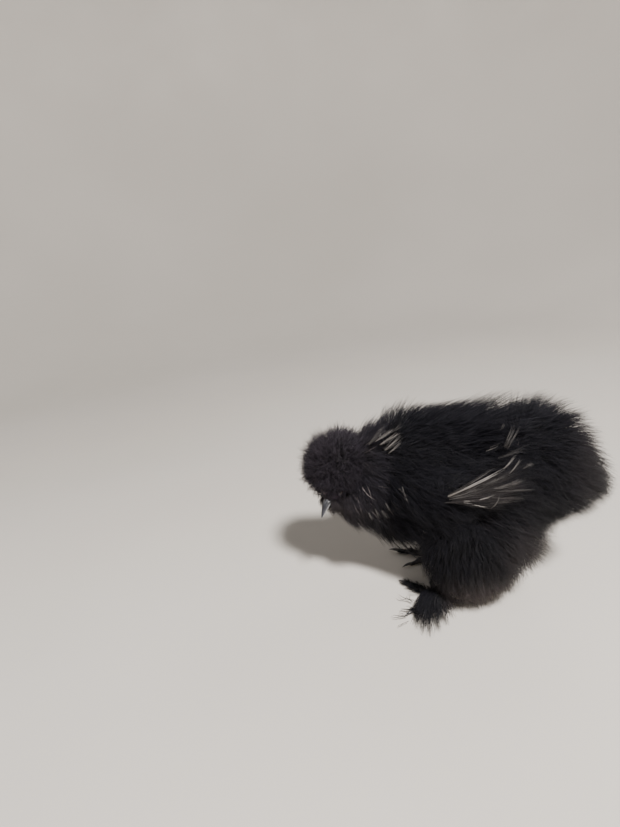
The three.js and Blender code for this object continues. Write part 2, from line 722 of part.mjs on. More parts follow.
// Flight feathers and coverts fan out from the wing's leading edge, each lying over the next.
// The tips fold in towards the tail.
function wingVanes(side, grow) {
  const sign = outward[side];
  const vanes = [];
  const addTier = ({ length, width, thick }, count, place) => {
    for (let i = 0; i < count; i++) {
      const { x, z, lift, angle, scale } = place(i / (count - 1));
      const way = vec([Math.cos(radians(angle)), 0, Math.sin(radians(angle))]);
      const rise = Math.max(0, way.z) * length * scale;
      const fold = (wingFold * length * scale) / flightVane.length + wingLean * rise;
      const start = vec([x, sign * (lift - 2), z]);
      const tip = start.clone().addScaledVector(way, length * scale).setY(sign * (lift + 1 - fold));
      const bend = start.clone().lerp(tip, 0.5).setY(sign * (lift + 3.5 - 0.25 * fold));
      const blade = { points: [start, bend, tip], up: vec([0, 1, 0]), width, thick, rings: [0, 0.84] };
      vanes.push(solidFrom(bladeGeometry(blade, grow), wings[side].matrix));
    }
  };
  addTier(flightVane, 7, (t) => ({
    x: -20 + 6 * t, z: -11 + 18 * t, lift: 4.4 + 1.6 * t, angle: -14 + 36 * t, scale: 1 - 0.12 * t,
  }));
  addTier(covertVane, 5, (t) => ({
    x: -34 + 6 * t, z: -9 + 17 * t, lift: 6.4 + 1.2 * t, angle: -10 + 30 * t, scale: 1,
  }));
  return vanes;
}

function wingSolid(side, grow) {
  const joint = { at: flipped(shoulder.at, outward[side]), size: shoulder.size };
  const hand = grow > 0 ? wings[side].coreClearance : wings[side].core;
  return join([hand, ellipsoid(joint, wings[side].matrix, 1, grow), ...wingVanes(side, grow)]);
}

// The torso's coat lies in front of a slanted plane, and the tail's coat behind it
function frontOf({ point, normal }, shift) {
  const block = new THREE.BoxGeometry(400, 400, 400);
  block.translate(-200 + shift, 0, 0);
  const turn = new THREE.Quaternion().setFromUnitVectors(vec([1, 0, 0]), vec(normal).normalize());
  return solidFrom(block, new THREE.Matrix4().compose(vec(point), turn, vec([1, 1, 1])));
}
const torsoClear = torso.coreClearance;
const tailRoom = tail.coatClearance.subtract(frontOf(tailRoot, -gap));
const neckClear = neck.coreClearance;
const wingClears = sideNames.map((side) => wingSolid(side, gap));
const thighClears = sideNames.map((side) => thighs[side].coreClearance);

const crestSolid = feathered(crest, crestCoat, {
  cores: [headClearance, neckClear, torsoClear, faceClearance],
  coats: [],
  buriedIn: [],
});
addNode("crest", crestSolid, colours.plumage);
const neckSolid = feathered(neck, neckCoat, {
  cores: [torsoClear, headClearance, faceClearance],
  coats: [crest.coatClearance],
  buriedIn: [crest],
});
addNode("neck", neckSolid, colours.plumage);
const tailSolid = feathered(tail, tailCoat, {
  cores: [torsoClear],
  coats: [frontOf(tailRoot, 0), ...wingClears],
  buriedIn: [],
});
addNode("tail", tailSolid, colours.plumage);
const torsoSolid = feathered(torso, torsoCoat, {
  cores: [neck.coreClearance, tail.coreClearance],
  coats: [neck.coatClearance, tailRoom, crest.coatClearance, ...wingClears, ...thighClears],
  buriedIn: [neck, crest],
});
addNode("torso", torsoSolid, colours.plumage);
for (const side of sideNames) {
  const other = thighs[side === "left" ? "right" : "left"];
  const cores = [torsoClear, shankSolid(side, gap)];
  const coats = [torso.coatClearance, tail.coatClearance, ankleSpace(side), ...wingClears];
  if (side === "right") cores.push(other.coreClearance);
  coats.push(side === "right" ? other.coatClearance : other.coreClearance);
  const thighSolid = feathered(thighs[side], thighCoat, { cores, coats, buriedIn: [torso, tail] });
  addNode("thigh_" + side, thighSolid, colours.plumage);
  addNode("wing_" + side, cut(wingSolid(side, 0), [torsoClear]), colours.flight);
}

root.updateMatrixWorld(true);
const box = new THREE.Box3().setFromObject(root);
root.position.set(-(box.min.x + box.max.x) / 2, -(box.min.y + box.max.y) / 2, -box.min.z);

export default root;
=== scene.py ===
import math

import bmesh
import bpy
import numpy as np
from mathutils import Matrix, Vector


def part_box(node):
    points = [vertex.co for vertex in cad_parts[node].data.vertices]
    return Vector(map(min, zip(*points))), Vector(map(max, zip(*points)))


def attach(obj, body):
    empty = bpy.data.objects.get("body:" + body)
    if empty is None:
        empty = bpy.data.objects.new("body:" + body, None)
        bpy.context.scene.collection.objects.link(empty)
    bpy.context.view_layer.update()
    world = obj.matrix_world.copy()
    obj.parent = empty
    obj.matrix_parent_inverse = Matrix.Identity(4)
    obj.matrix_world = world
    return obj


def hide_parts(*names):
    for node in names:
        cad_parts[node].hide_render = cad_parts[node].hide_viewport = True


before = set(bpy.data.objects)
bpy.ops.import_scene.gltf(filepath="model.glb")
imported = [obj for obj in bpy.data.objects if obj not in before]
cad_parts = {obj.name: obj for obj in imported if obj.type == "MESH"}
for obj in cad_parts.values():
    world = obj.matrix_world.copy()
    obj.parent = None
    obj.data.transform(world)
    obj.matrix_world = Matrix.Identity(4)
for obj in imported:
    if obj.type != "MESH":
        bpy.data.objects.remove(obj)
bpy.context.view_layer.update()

# Places are in millimetres in the bird's own frame: it faces -x, its right side is +y, z is up.
# A frame is an origin and its three axes, one in each row.


def unit(vectors):
    return vectors / np.maximum(np.linalg.norm(vectors, axis=-1, keepdims=True), 1e-9)


def toBird(place, points):
    return np.asarray(points, float) @ place["axes"] + place["at"]


def toLocal(place, points):
    return (np.asarray(points, float) - place["at"]) @ place["axes"].T


def flipped(point, sign):
    return (point[0], point[1] * sign, point[2])


# Points turned about z
def turnedLevel(points, degrees):
    turn = math.radians(degrees)
    turned = points.copy()
    turned[:, 0] = points[:, 0] * math.cos(turn) - points[:, 1] * math.sin(turn)
    turned[:, 1] = points[:, 0] * math.sin(turn) + points[:, 1] * math.cos(turn)
    return turned


birdFrame = {"at": np.zeros(3), "axes": np.eye(3)}
headPose = {"at": (-127.5, -33.3, 120.1), "yaw": 70, "pitch": 20}
wingPose = {"at": (14, 63, 134), "slope": 16}
outward = {"left": -1, "right": 1}
headSides = {"left": 1, "right": -1}


def makeHeadFrame():
    yaw, pitch = math.radians(headPose["yaw"]), math.radians(headPose["pitch"])
    level = np.array([-math.cos(yaw), -math.sin(yaw), 0])
    forward = level * math.cos(pitch) - np.array([0, 0, math.sin(pitch)])
    up = level * math.sin(pitch) + np.array([0, 0, math.cos(pitch)])
    return {"at": np.array(headPose["at"]), "axes": np.array([forward, np.cross(up, forward), up])}


def makeWingFrame(side):
    slope = math.radians(wingPose["slope"])
    along = (math.cos(slope), 0, math.sin(slope))
    up = (-math.sin(slope), 0, math.cos(slope))
    at = np.array(flipped(wingPose["at"], outward[side]), float)
    return {"at": at, "axes": np.array([along, (0, outward[side], 0), up])}


headFrame = makeHeadFrame()
wingFrames = {side: makeWingFrame(side) for side in outward}

eyes = {"at": (9, 9.2, 0.5), "radius": 4.9, "cornea": 0.55, "iris": 34, "lean": 14}
low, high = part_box("eye_left")
shift = np.array((low + high) / 2) * 1000 - toBird(headFrame, eyes["at"])


def toModel(points):
    return (np.asarray(points, float) + shift) / 1000


def newObject(name, data):
    made = bpy.data.objects.new(name, data)
    bpy.context.scene.collection.objects.link(made)
    return made


def smoothFaces(data):
    data.polygons.foreach_set("use_smooth", [True] * len(data.polygons))


# Where the flesh ends (inner) and how far the plumage reaches (outer): blobs with a middle and half sizes
forms = {
    "torso": {
        "centre": (-4, 0, 118), "backAbove": 122,
        "outer": [
            ((2, 0, 124), (84, 70, 72)), ((-52, 0, 110), (52, 53, 54)), ((56, 0, 112), (42, 50, 48)),
            ((-56, -4, 150), (42, 46, 50)), ((41, 0, 154), (46, 48, 51)), ((-68, -8, 80), (36, 38, 35)),
            ((44, 0, 86), (37, 50, 42)),
        ],
        "inner": [
            ((-23, 0, 121), (58, 54, 56)), ((-57, 0, 109), (44, 45, 45)), ((31, 0, 124), (27, 32, 34)),
            ((-54, -3, 138), (32, 35, 35)), ((28, 0, 137), (30, 33, 32)), ((34, 0, 92), (22, 30, 24)),
        ],
    },
    "tail": {
        "centre": (74, -2, 142),
        "outer": [
            ((79, -2, 150), (51, 53, 56)), ((54, -2, 154), (42, 45, 46)), ((99, -2, 126), (40, 41, 40)),
        ],
        "inner": [((70, -2, 146), (25, 25, 27)), ((78, -2, 130), (18, 20, 18))],
    },
    "neck": {
        "centre": (-98, -16, 119),
        "outer": [
            ((-92, -12, 122), (42, 43, 44)), ((-110, -24, 112), (30, 32, 30)), ((-98, -28, 98), (28, 30, 30)),
            ((-94, -16, 148), (34, 38, 36)),
        ],
        "inner": [
            ((-92, -12, 122), (31, 32, 31)), ((-110, -24, 112), (19, 21, 19)), ((-92, -14, 139), (24, 27, 24)),
        ],
    },
    "crest": {
        "frame": headFrame,
        "centre": (-14, 0, 14),
        "outer": [((-14, -2, 19), (41, 42, 41)), ((-25, 2, 8), (30, 33, 32)), ((-17, 10, 27), (34, 34, 34))],
        "inner": [((-12, 0, 16), (27, 28, 25)), ((-22, 0, 6), (17, 22, 18))],
    },
    "face": {
        "frame": headFrame,
        "centre": (0, 0, 0),
        "outer": [((0, 0, 0), (24, 19, 19)), ((10, 0, -3), (16, 14, 15)), ((-12, 0, -5), (19, 18, 19))],
        "inner": [((0, 0, 0), (18, 13.5, 14)), ((10, 0, -3), (12, 10, 10.5)), ((-12, 0, -5), (13, 12, 13))],
    },
}
for side, sign in outward.items():
    forms["thigh" + side.title()] = {
        "centre": flipped((16, 36, 66), sign),
        "outer": [
            (flipped((12, 37, 62), sign), (52, 45, 54)), (flipped((42, 31, 74), sign), (42, 38, 45)),
            (flipped((4, 45, 38), sign), (40, 34, 36)),
        ],
        "inner": [(flipped((8, 37, 66), sign), (34, 27, 37)), (flipped((32, 31, 76), sign), (21, 18, 22))],
    }
    forms["wing" + side.title()] = {
        "frame": wingFrames[side],
        "centre": (-8, 0, -1),
        "outer": [((-12, 2, -1), (48, 18, 29)), ((-28, -5, -2), (27, 24, 25)), ((28, -9, -1), (34, 15, 24))],
        "inner": [((-8, 0, -1), (37, 6.5, 19)), ((-28, -11, -2), (15, 13, 14))],
    }
fieldBlend = 9


# How far points lie from a blob's middle, where 1 is its surface
def blobDistance(points, at, size):
    return np.linalg.norm((points - np.array(at)) / np.array(size), axis=-1)


def fieldOf(points, blobs, grow=0.0):
    total = np.zeros(points.shape[:-1])
    for at, size in blobs:
        total += np.exp(-fieldBlend * (blobDistance(points, at, np.array(size) + grow) - 1))
    return total


# The outermost point of a form in each direction from its centre, all in the form's own frame
def surfaceAlong(form, key, ways, grow=0.0):
    centre = np.array(form["centre"], float)
    found = np.full(len(ways), 1.0)
    waiting = np.arange(len(ways))
    for distance in np.arange(150.0, 0, -2.0):
        inside = fieldOf(centre + ways[waiting] * distance, form[key], grow) > 1
        found[waiting[inside]] = distance
        waiting = waiting[~inside]
        if not len(waiting):
            break
    lowest, highest = found.copy(), found + 2
    for _ in range(10):
        middle = (lowest + highest) / 2
        inside = fieldOf(centre + ways * middle[:, None], form[key], grow) > 1
        lowest = np.where(inside, middle, lowest)
        highest = np.where(inside, highest, middle)
    return centre + ways * lowest[:, None]


def frameOf(form):
    return form.get("frame", birdFrame)



# The plumage as one rounded mass, which fills the creases between the forms
envelope = {"blend": 7.2, "step": 2.0, "most": 22.0, "buried": 2.6}


def envelopeAt(points):
    total = np.zeros(len(points))
    for name, form in forms.items():
        if name == "face":
            continue
        local = toLocal(frameOf(form), points)
        for at, size in form["outer"]:
            total += np.exp(-envelope["blend"] * (blobDistance(local, at, size) - 1))
    return total


# The camera stands at the viewing angle, in the bird's frame
cameraView = {
    "at": (81.9, -603.2, 394.0),
    "right": (0.93400, 0.33840, -0.11458),
    "up": (-0.00044, 0.32179, 0.94681),
    "back": (0.35727, -0.88427, 0.30071),
    "lens": 27.03,
}


def addCamera():
    data = bpy.data.cameras.new("camera")
    data.lens, data.sensor_width = cameraView["lens"], 36
    data.clip_start, data.clip_end = 0.01, 50
    camera = newObject("camera", data)
    turned = Matrix([cameraView["right"], cameraView["up"], cameraView["back"]]).transposed().to_4x4()
    turned.translation = Vector(toModel(cameraView["at"]))
    camera.matrix_world = turned
    bpy.context.scene.camera = camera


studio = {
    "skyColour": (0.92, 0.95, 1.0, 1), "skyStrength": 0.10,
    "rimRadius": 2.6, "rimHeight": 1.5, "bend": 1.2, "flatRings": 12, "bendRings": 14, "turns": 96,
    "lights": [
        # name, place in metres, aim, size, watts, colour
        ("keyLight", (0.95, -1.2, 1.95), (0, 0, 0.1), 0.34, 160, (1.0, 0.975, 0.95)),
        ("fillLight", (-1.3, -0.9, 1.2), (0, 0, 0.1), 1.2, 3, (0.90, 0.94, 1.0)),
        ("rimLight", (0.5, 1.3, 1.3), (0, 0, 0.12), 0.7, 4.5, (1.0, 0.96, 0.92)),
    ],
}


# A round floor that bends up into a rim
def addStage(material):
    flat = studio["rimRadius"] - studio["bend"]
    profile = [(r, 0.0) for r in np.linspace(0.05, flat, studio["flatRings"])]
    for angle in np.linspace(0, math.pi / 2, studio["bendRings"])[1:]:
        across = flat + studio["bend"] * math.sin(angle)
        profile.append((across, studio["bend"] * (1 - math.cos(angle))))
    profile.append((studio["rimRadius"], studio["rimHeight"]))
    turns = studio["turns"]
    mesh = bmesh.new()
    middle = mesh.verts.new((0, 0, 0))
    rings = []
    for across, height in profile:
        angles = [2 * math.pi * i / turns for i in range(turns)]
        rings.append([mesh.verts.new((across * math.cos(a), across * math.sin(a), height)) for a in angles])
    for i in range(turns):
        mesh.faces.new((middle, rings[0][i], rings[0][(i + 1) % turns]))
        for inner, outer in zip(rings, rings[1:]):
            mesh.faces.new((inner[i], outer[i], outer[(i + 1) % turns], inner[(i + 1) % turns]))
    data = bpy.data.meshes.new("studioFloor")
    mesh.to_mesh(data)
    mesh.free()
    smoothFaces(data)
    data.materials.append(material)
    newObject("studioFloor", data)


def addLights():
    for name, at, aim, size, watts, colour in studio["lights"]:
        data = bpy.data.lights.new(name, "AREA")
        data.shape, data.size, data.energy, data.color = "DISK", size, watts, colour
        light = newObject(name, data)
        light.location = at
        light.rotation_euler = (Vector(at) - Vector(aim)).to_track_quat("Z", "Y").to_euler()
    world = bpy.data.worlds.new("studioSky")
    world.use_nodes = True
    sky = world.node_tree.nodes["Background"]
    sky.inputs["Color"].default_value = studio["skyColour"]
    sky.inputs["Strength"].default_value = studio["skyStrength"]
    bpy.context.scene.world = world


def newGroup(name, inputs, outputs):
    group = bpy.data.node_groups.new(name, "ShaderNodeTree")
    for label, kind, value in inputs:
        socket = group.interface.new_socket(name=label, in_out="INPUT", socket_type="NodeSocket" + kind)
        socket.default_value = value
    for label, kind in outputs:
        group.interface.new_socket(name=label, in_out="OUTPUT", socket_type="NodeSocket" + kind)
    return group, group.nodes.new("NodeGroupInput"), group.nodes.new("NodeGroupOutput")


def addNode(tree, kind, links=None, **values):
    node = tree.nodes.new(kind)
    for key, value in values.items():
        setattr(node, key, value)
    for socket, source in (links or {}).items():
        if isinstance(source, bpy.types.NodeSocket):
            tree.links.new(source, node.inputs[socket])
        else:
            node.inputs[socket].default_value = source
    return node


# The Mix node's colour sockets are its inputs 6 and 7 and its output 2
def mixColour(tree, share, first, second):
    return addNode(tree, "ShaderNodeMix", {0: share, 6: first, 7: second}, data_type="RGBA").outputs[2]


def maths(tree, operation, first, second):
    return addNode(tree, "ShaderNodeMath", {0: first, 1: second}, operation=operation).outputs[0]


def readMark(tree, name):
    return addNode(tree, "ShaderNodeAttribute", attribute_name=name).outputs["Fac"]


def remap(tree, value, fromLow, fromHigh, toLow, toHigh):
    links = {"Value": value, "From Min": fromLow, "From Max": fromHigh, "To Min": toLow, "To Max": toHigh}
    return addNode(tree, "ShaderNodeMapRange", links).outputs[0]


def stretchedPlace(group, given):
    links = {0: addNode(group, "ShaderNodeTexCoord").outputs["Object"], 1: given.outputs["Stretch"]}
    return addNode(group, "ShaderNodeVectorMath", links, operation="MULTIPLY").outputs[0]


# Fine uneven grain: a height for bumps and a mask for colour and roughness
def makeGrain():
    inputs = [("Size", "Float", 800.0), ("Detail", "Float", 4.0), ("Stretch", "Vector", (1, 1, 1))]
    group, given, made = newGroup("fineGrain", inputs, [("Height", "Float"), ("Mask", "Float")])
    stretched = stretchedPlace(group, given)
    links = {"Vector": stretched, "Scale": given.outputs["Size"], "Detail": given.outputs["Detail"]}
    fine = addNode(group, "ShaderNodeTexNoise", links)
    coarseSize = maths(group, "MULTIPLY", given.outputs["Size"], 0.21)
    coarse = addNode(group, "ShaderNodeTexNoise", {"Vector": stretched, "Scale": coarseSize})
    group.links.new(fine.outputs[0], made.inputs["Height"])
    group.links.new(remap(group, coarse.outputs[0], 0.32, 0.68, 0.0, 1.0), made.inputs["Mask"])
    return group


# Plates or pores with dark joints between them
def makeScales():
    inputs = [("Size", "Float", 400.0), ("Stretch", "Vector", (1, 1, 1))]
    group, given, made = newGroup("scalePlates", inputs, [("Height", "Float"), ("Joint", "Float")])
    stretched = stretchedPlace(group, given)
    links = {"Vector": stretched, "Scale": given.outputs["Size"]}
    cells = addNode(group, "ShaderNodeTexVoronoi", links, feature="DISTANCE_TO_EDGE")
    joint = remap(group, cells.outputs["Distance"], 0.0, 0.09, 1.0, 0.0)
    group.links.new(remap(group, cells.outputs["Distance"], 0.0, 0.3, 0.0, 1.0), made.inputs["Height"])
    group.links.new(joint, made.inputs["Joint"])
    return group


# The plumage's marks: near-black, warmed to brown where it is, with pale silvery strands. Part of the brown is
# painted light: a backlit fringe on the tail and light bounced up from the floor low on the fluff
def makeMarksAndPaintedLight():
    inputs = [
        ("Dark", "Color", (0.010, 0.009, 0.011, 1)), ("Warm", "Color", (0.050, 0.034, 0.030, 1)),
        ("Pale", "Color", (0.42, 0.37, 0.32, 1)), ("Variation", "Float", 0.5),
    ]
    group, given, made = newGroup("plumageMarksAndPaintedLight", inputs, [("Color", "Color"), ("Roughness", "Float")])
    warm, pale, shade, along = [readMark(group, name) for name in ("warm", "pale", "shade", "along")]
    colour = mixColour(group, warm, given.outputs["Dark"], given.outputs["Warm"])
    # strands differ a little, and lighten towards their tips
    swing = maths(group, "MULTIPLY", maths(group, "SUBTRACT", shade, 0.35), given.outputs["Variation"])
    lightness = maths(group, "ADD", maths(group, "ADD", swing, 1.0), maths(group, "MULTIPLY", along, 0.35))
    lit = addNode(group, "ShaderNodeVectorMath", {0: colour, 3: lightness}, operation="SCALE")
    final = mixColour(group, pale, lit.outputs[0], given.outputs["Pale"])
    group.links.new(final, made.inputs["Color"])
    rough = maths(group, "ADD", maths(group, "MULTIPLY", shade, 0.16), 0.44)
    group.links.new(rough, made.inputs["Roughness"])
    return group


grainGroup, scaleGroup, marksAndPaintedLightGroup = makeGrain(), makeScales(), makeMarksAndPaintedLight()


def newMaterial(name, **fixed):
    material = bpy.data.materials.new(name)
    material.use_nodes = True
    tree = material.node_tree
    shader = tree.nodes["Principled BSDF"]
    for label, value in fixed.items():
        shader.inputs[label.replace("_", " ")].default_value = value
    return material, tree, shader


def placeGroup(tree, group, **values):
    node = tree.nodes.new("ShaderNodeGroup")
    node.node_tree = group
    for label, value in values.items():
        node.inputs[label].default_value = value
    return node.outputs


def bumpFrom(tree, shader, height, strength, distance):
    links = {"Height": height, "Strength": strength, "Distance": distance}
    tree.links.new(addNode(tree, "ShaderNodeBump", links).outputs[0], shader.inputs["Normal"])


def makePlumage(name, marks, **fixed):
    material, tree, shader = newMaterial(name, **fixed)
    tone = placeGroup(tree, marksAndPaintedLightGroup, **marks)
    tree.links.new(tone["Color"], shader.inputs["Base Color"])
    tree.links.new(tone["Roughness"], shader.inputs["Roughness"])
    grain = placeGroup(tree, grainGroup, Size=2600.0, Detail=2.0)
    bumpFrom(tree, shader, grain["Height"], 0.25, 0.0001)
    return material


plumageLooks = {
    "body": {
        # The body's warm colour also serves painted light: a backlit fringe on the tail and floor bounce light
        # low on the fluff
        "Dark": (0.0042, 0.0040, 0.0060, 1), "Warm": (0.060, 0.050, 0.050, 1), "Pale": (0.34, 0.30, 0.28, 1),
    },
    "crest": {
        "Dark": (0.0092, 0.0076, 0.0114, 1), "Warm": (0.023, 0.0187, 0.0235, 1), "Pale": (0.34, 0.30, 0.28, 1),
        "Variation": 0.35,
    },
    "hackle": {
        "Dark": (0.0104, 0.0093, 0.0125, 1), "Warm": (0.040, 0.032, 0.032, 1), "Pale": (0.34, 0.29, 0.28, 1),
    },
    "flight": {
        "Dark": (0.0055, 0.0048, 0.0056, 1), "Warm": (0.0120, 0.0090, 0.0096, 1),
        "Pale": (0.36, 0.335, 0.315, 1), "Variation": 1.3,
    },
    "skin": {"Dark": (0.0080, 0.0070, 0.0090, 1), "Warm": (0.0170, 0.0138, 0.0170, 1), "Variation": 0.0},
}
silky = {"Specular_IOR_Level": 0.11, "Sheen_Weight": 0.03, "Sheen_Roughness": 0.45}
feathered = ("body", "crest", "hackle", "flight")
plumage = {name: makePlumage(name + "Plumage", plumageLooks[name], **silky) for name in feathered}


def makeSkinMaterial():
    material, tree, shader = newMaterial("darkSkin", Specular_IOR_Level=0.12)
    tone = placeGroup(tree, marksAndPaintedLightGroup, **plumageLooks["skin"])
    bare, scaly = readMark(tree, "bare"), readMark(tree, "scaly")
    grain = placeGroup(tree, grainGroup, Size=900.0, Detail=5.0)
    plates = placeGroup(tree, scaleGroup, Size=430.0)
    face = mixColour(tree, grain["Mask"], (0.016, 0.011, 0.019, 1), (0.034, 0.020, 0.033, 1))
    leg = mixColour(tree, plates["Joint"], (0.042, 0.041, 0.046, 1), (0.014, 0.013, 0.015, 1))
    skin = mixColour(tree, bare, tone["Color"], face)
    tree.links.new(mixColour(tree, scaly, skin, leg), shader.inputs["Base Color"])
    tree.links.new(remap(tree, grain["Mask"], 0, 1, 0.55, 0.75), shader.inputs["Roughness"])
    height = maths(tree, "ADD", grain["Height"], maths(tree, "MULTIPLY", plates["Height"], scaly))
    bumpFrom(tree, shader, height, 0.6, 0.0005)
    return material


# Horn, comb, lobe and floor share one layout: two colours through a mask, a roughness span and a bump
grainedLooks = {
    "slateHorn": {
        # The third colour is a painted highlight for the beak's ridge and cutting edges
        "colours": ((0.0085, 0.0088, 0.0120, 1), (0.024, 0.0245, 0.031, 1)), "paintedHighlight": (0.30, 0.30, 0.32, 1),
        "rough": (0.26, 0.46), "size": 420.0, "stretch": (1, 1, 2.2), "strength": 0.22,
    },
    "clawHorn": {
        "colours": ((0.028, 0.027, 0.030, 1), (0.075, 0.070, 0.068, 1)),
        "rough": (0.25, 0.45), "size": 700.0, "stretch": (1, 1, 3), "strength": 0.3,
    },
    "combSkin": {
        "colours": ((0.016, 0.009, 0.015, 1), (0.040, 0.018, 0.028, 1)),
        "rough": (0.38, 0.6), "size": 1100.0, "strength": 0.5,
    },
    "lobeSkin": {
        "colours": ((0.10, 0.30, 0.40, 1), (0.22, 0.50, 0.60, 1)),
        "rough": (0.4, 0.6), "size": 1300.0, "strength": 0.5,
    },
    "paleFloor": {
        "colours": ((0.575, 0.54, 0.495, 1), (0.535, 0.50, 0.455, 1)),
        "rough": (0.55, 0.75), "size": 6.0, "strength": 0.05,
    },
}


def makeGrained(name, colours, rough, size, strength, stretch=(1, 1, 1), paintedHighlight=None):
    material, tree, shader = newMaterial(name)
    grain = placeGroup(tree, grainGroup, Size=size, Detail=5.0, Stretch=stretch)
    colour = mixColour(tree, grain["Mask"], *colours)
    if paintedHighlight:  # painted highlights: down the beak's ridge, and along its cutting edges, which are also pale horn
        colour = mixColour(tree, maths(tree, "MULTIPLY", readMark(tree, "streak"), 0.85), colour, paintedHighlight)
    tree.links.new(colour, shader.inputs["Base Color"])
    tree.links.new(remap(tree, grain["Height"], 0.3, 0.7, *rough), shader.inputs["Roughness"])
    bumpFrom(tree, shader, grain["Height"], strength, 0.0003)
    return material


def makeEyeMaterial():
    material, tree, shader = newMaterial("eyeGloss", Coat_Weight=1.0, Coat_Roughness=0.03, Roughness=0.12)
    rim = readMark(tree, "fromPupil")
    grain = placeGroup(tree, grainGroup, Size=1400.0, Detail=3.0)
    iris = mixColour(tree, grain["Mask"], (0.020, 0.011, 0.008, 1), (0.055, 0.028, 0.016, 1))
    withPupil = mixColour(tree, remap(tree, rim, 0.36, 0.42, 0, 1), (0.002, 0.002, 0.002, 1), iris)
    final = mixColour(tree, remap(tree, rim, 0.9, 1.05, 0, 1), withPupil, (0.010, 0.009, 0.010, 1))
    tree.links.new(final, shader.inputs["Base Color"])
    bumpFrom(tree, shader, grain["Height"], 0.08, 0.0001)
    return material


skinMaterial, eyeMaterial = makeSkinMaterial(), makeEyeMaterial()
grained = {name: makeGrained(name, **look) for name, look in grainedLooks.items()}
print("materials made")


def meshFrom(name, points, faces, attributes=None):
    data = bpy.data.meshes.new(name)
    data.from_pydata([tuple(p) for p in toModel(points)], [], [tuple(int(i) for i in face) for face in faces])
    for label, values in (attributes or {}).items():
        setAttribute(data, label, values)
    smoothFaces(data)
    data.update()
    return data


def addPiece(data, material, nodes=()):
    piece = newObject(data.name, data)
    data.materials.clear()
    data.materials.append(material)
    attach(piece, "root")
    if nodes:
        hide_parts(*nodes)


def ballGrid(detail):
    ball = bmesh.new()
    bmesh.ops.create_icosphere(ball, subdivisions=detail, radius=1)
    ways = unit(np.array([v.co[:] for v in ball.verts]))
    faces = [tuple(v.index for v in face.verts) for face in ball.faces]
    ball.free()
    return ways, faces


def formShell(form, key, detail):
    ways, faces = ballGrid(detail)
    return toBird(frameOf(form), surfaceAlong(form, key, ways)), faces


def blobShell(place, at, size, detail):
    ways, faces = ballGrid(detail)
    return toBird(place, ways * np.array(size, float) + np.array(at, float)), faces


# A tube through points, in bird space, with a radius at each and its ends closed
def tubeShell(points, radii, sides, swell=None):
    points, radii = np.asarray(points, float), np.asarray(radii, float)
    tangents = unit(np.gradient(points, axis=0))
    across = unit(np.cross(tangents, (0.05, 0.02, 1.0)))
    over = np.cross(across, tangents)
    angles = 2 * np.pi * np.arange(sides) / sides
    rings = []
    for k, centre in enumerate(points):
        size = radii[k] * (swell(k, angles) if swell else np.ones(sides))
        ways = np.cos(angles)[:, None] * across[k] + np.sin(angles)[:, None] * over[k]
        rings.append(centre + size[:, None] * ways)
    return loftShell(rings)


def loftShell(rings):
    sides = len(rings[0])
    points = np.vstack([*rings, rings[0].mean(0)[None], rings[-1].mean(0)[None]])
    faces = []
    for k in range(len(rings) - 1):
        for i in range(sides):
            j = (i + 1) % sides
            faces.append((k * sides + i, k * sides + j, (k + 1) * sides + j, (k + 1) * sides + i))
    first, last, top = len(points) - 2, len(points) - 1, (len(rings) - 1) * sides
    for i in range(sides):
        j = (i + 1) % sides
        faces.append((j, i, first))
        faces.append((top + i, top + j, last))
    return points, faces


def joinShells(shells):
    points, faces, start = [], [], 0
    for shellPoints, shellFaces in shells:
        points.append(shellPoints)
        faces += [tuple(i + start for i in face) for face in shellFaces]
        start += len(shellPoints)
    return np.vstack(points), faces


# One closed surface round all the shells
def fuseShells(name, shells, voxel, smoothing):
    points, faces = joinShells(shells)
    data = meshFrom(name + "Rough", points, faces)
    rough = newObject(name + "Rough", data)
    fuse = rough.modifiers.new("fuse", "REMESH")
    fuse.mode, fuse.voxel_size = "VOXEL", voxel / 1000
    ease = rough.modifiers.new("ease", "SMOOTH")
    ease.iterations, ease.factor = smoothing, 0.5
    seen = rough.evaluated_get(bpy.context.evaluated_depsgraph_get())
    fused = bpy.data.meshes.new_from_object(seen)
    bpy.data.objects.remove(rough)
    bpy.data.meshes.remove(data)
    fused.name = name
    return fused


def meshPoints(data):
    flat = np.zeros(len(data.vertices) * 3)
    data.vertices.foreach_get("co", flat)
    return flat.reshape(-1, 3) * 1000 - shift


def setAttribute(data, label, values):
    layer = data.attributes.new(label, "FLOAT", "POINT")
    layer.data.foreach_set("value", np.asarray(values, np.float32))


# Marks that skin and coat share, some of them painted light. Each patch: middle, size, share of the strands
# that it changes
marksAndPaintedLight = {
    "warm": [
        ((-135, -38, 158), (44, 44, 36), 0.95), ((-118, -40, 100), (26, 26, 24), 0.5),
        # The tail patch is a painted backlit brown fringe, and the patch low on the fluff is painted floor
        # bounce light
        ((136, -6, 128), (20, 60, 56), 0.2), ((34, -50, 8), (42, 44, 22), 1.0),
        ((66, -44, 56), (22, 30, 28), 0.4),
    ],
    "pale": [
        ((-66, -40, 178), (13, 13, 11), 0.03), ((-80, -56, 100), (20, 14, 16), 0.05),
        ((52, -46, 176), (16, 14, 15), 0.02), ((-46, -66, 128), (8, 10, 9), 0.03),
    ],
}


def markAndPaintedLightAt(name, points):
    total = np.zeros(len(points))
    for at, size, share in marksAndPaintedLight[name]:
        total = np.maximum(total, share * np.clip(1.6 - blobDistance(points, at, size), 0, 1))
    return total


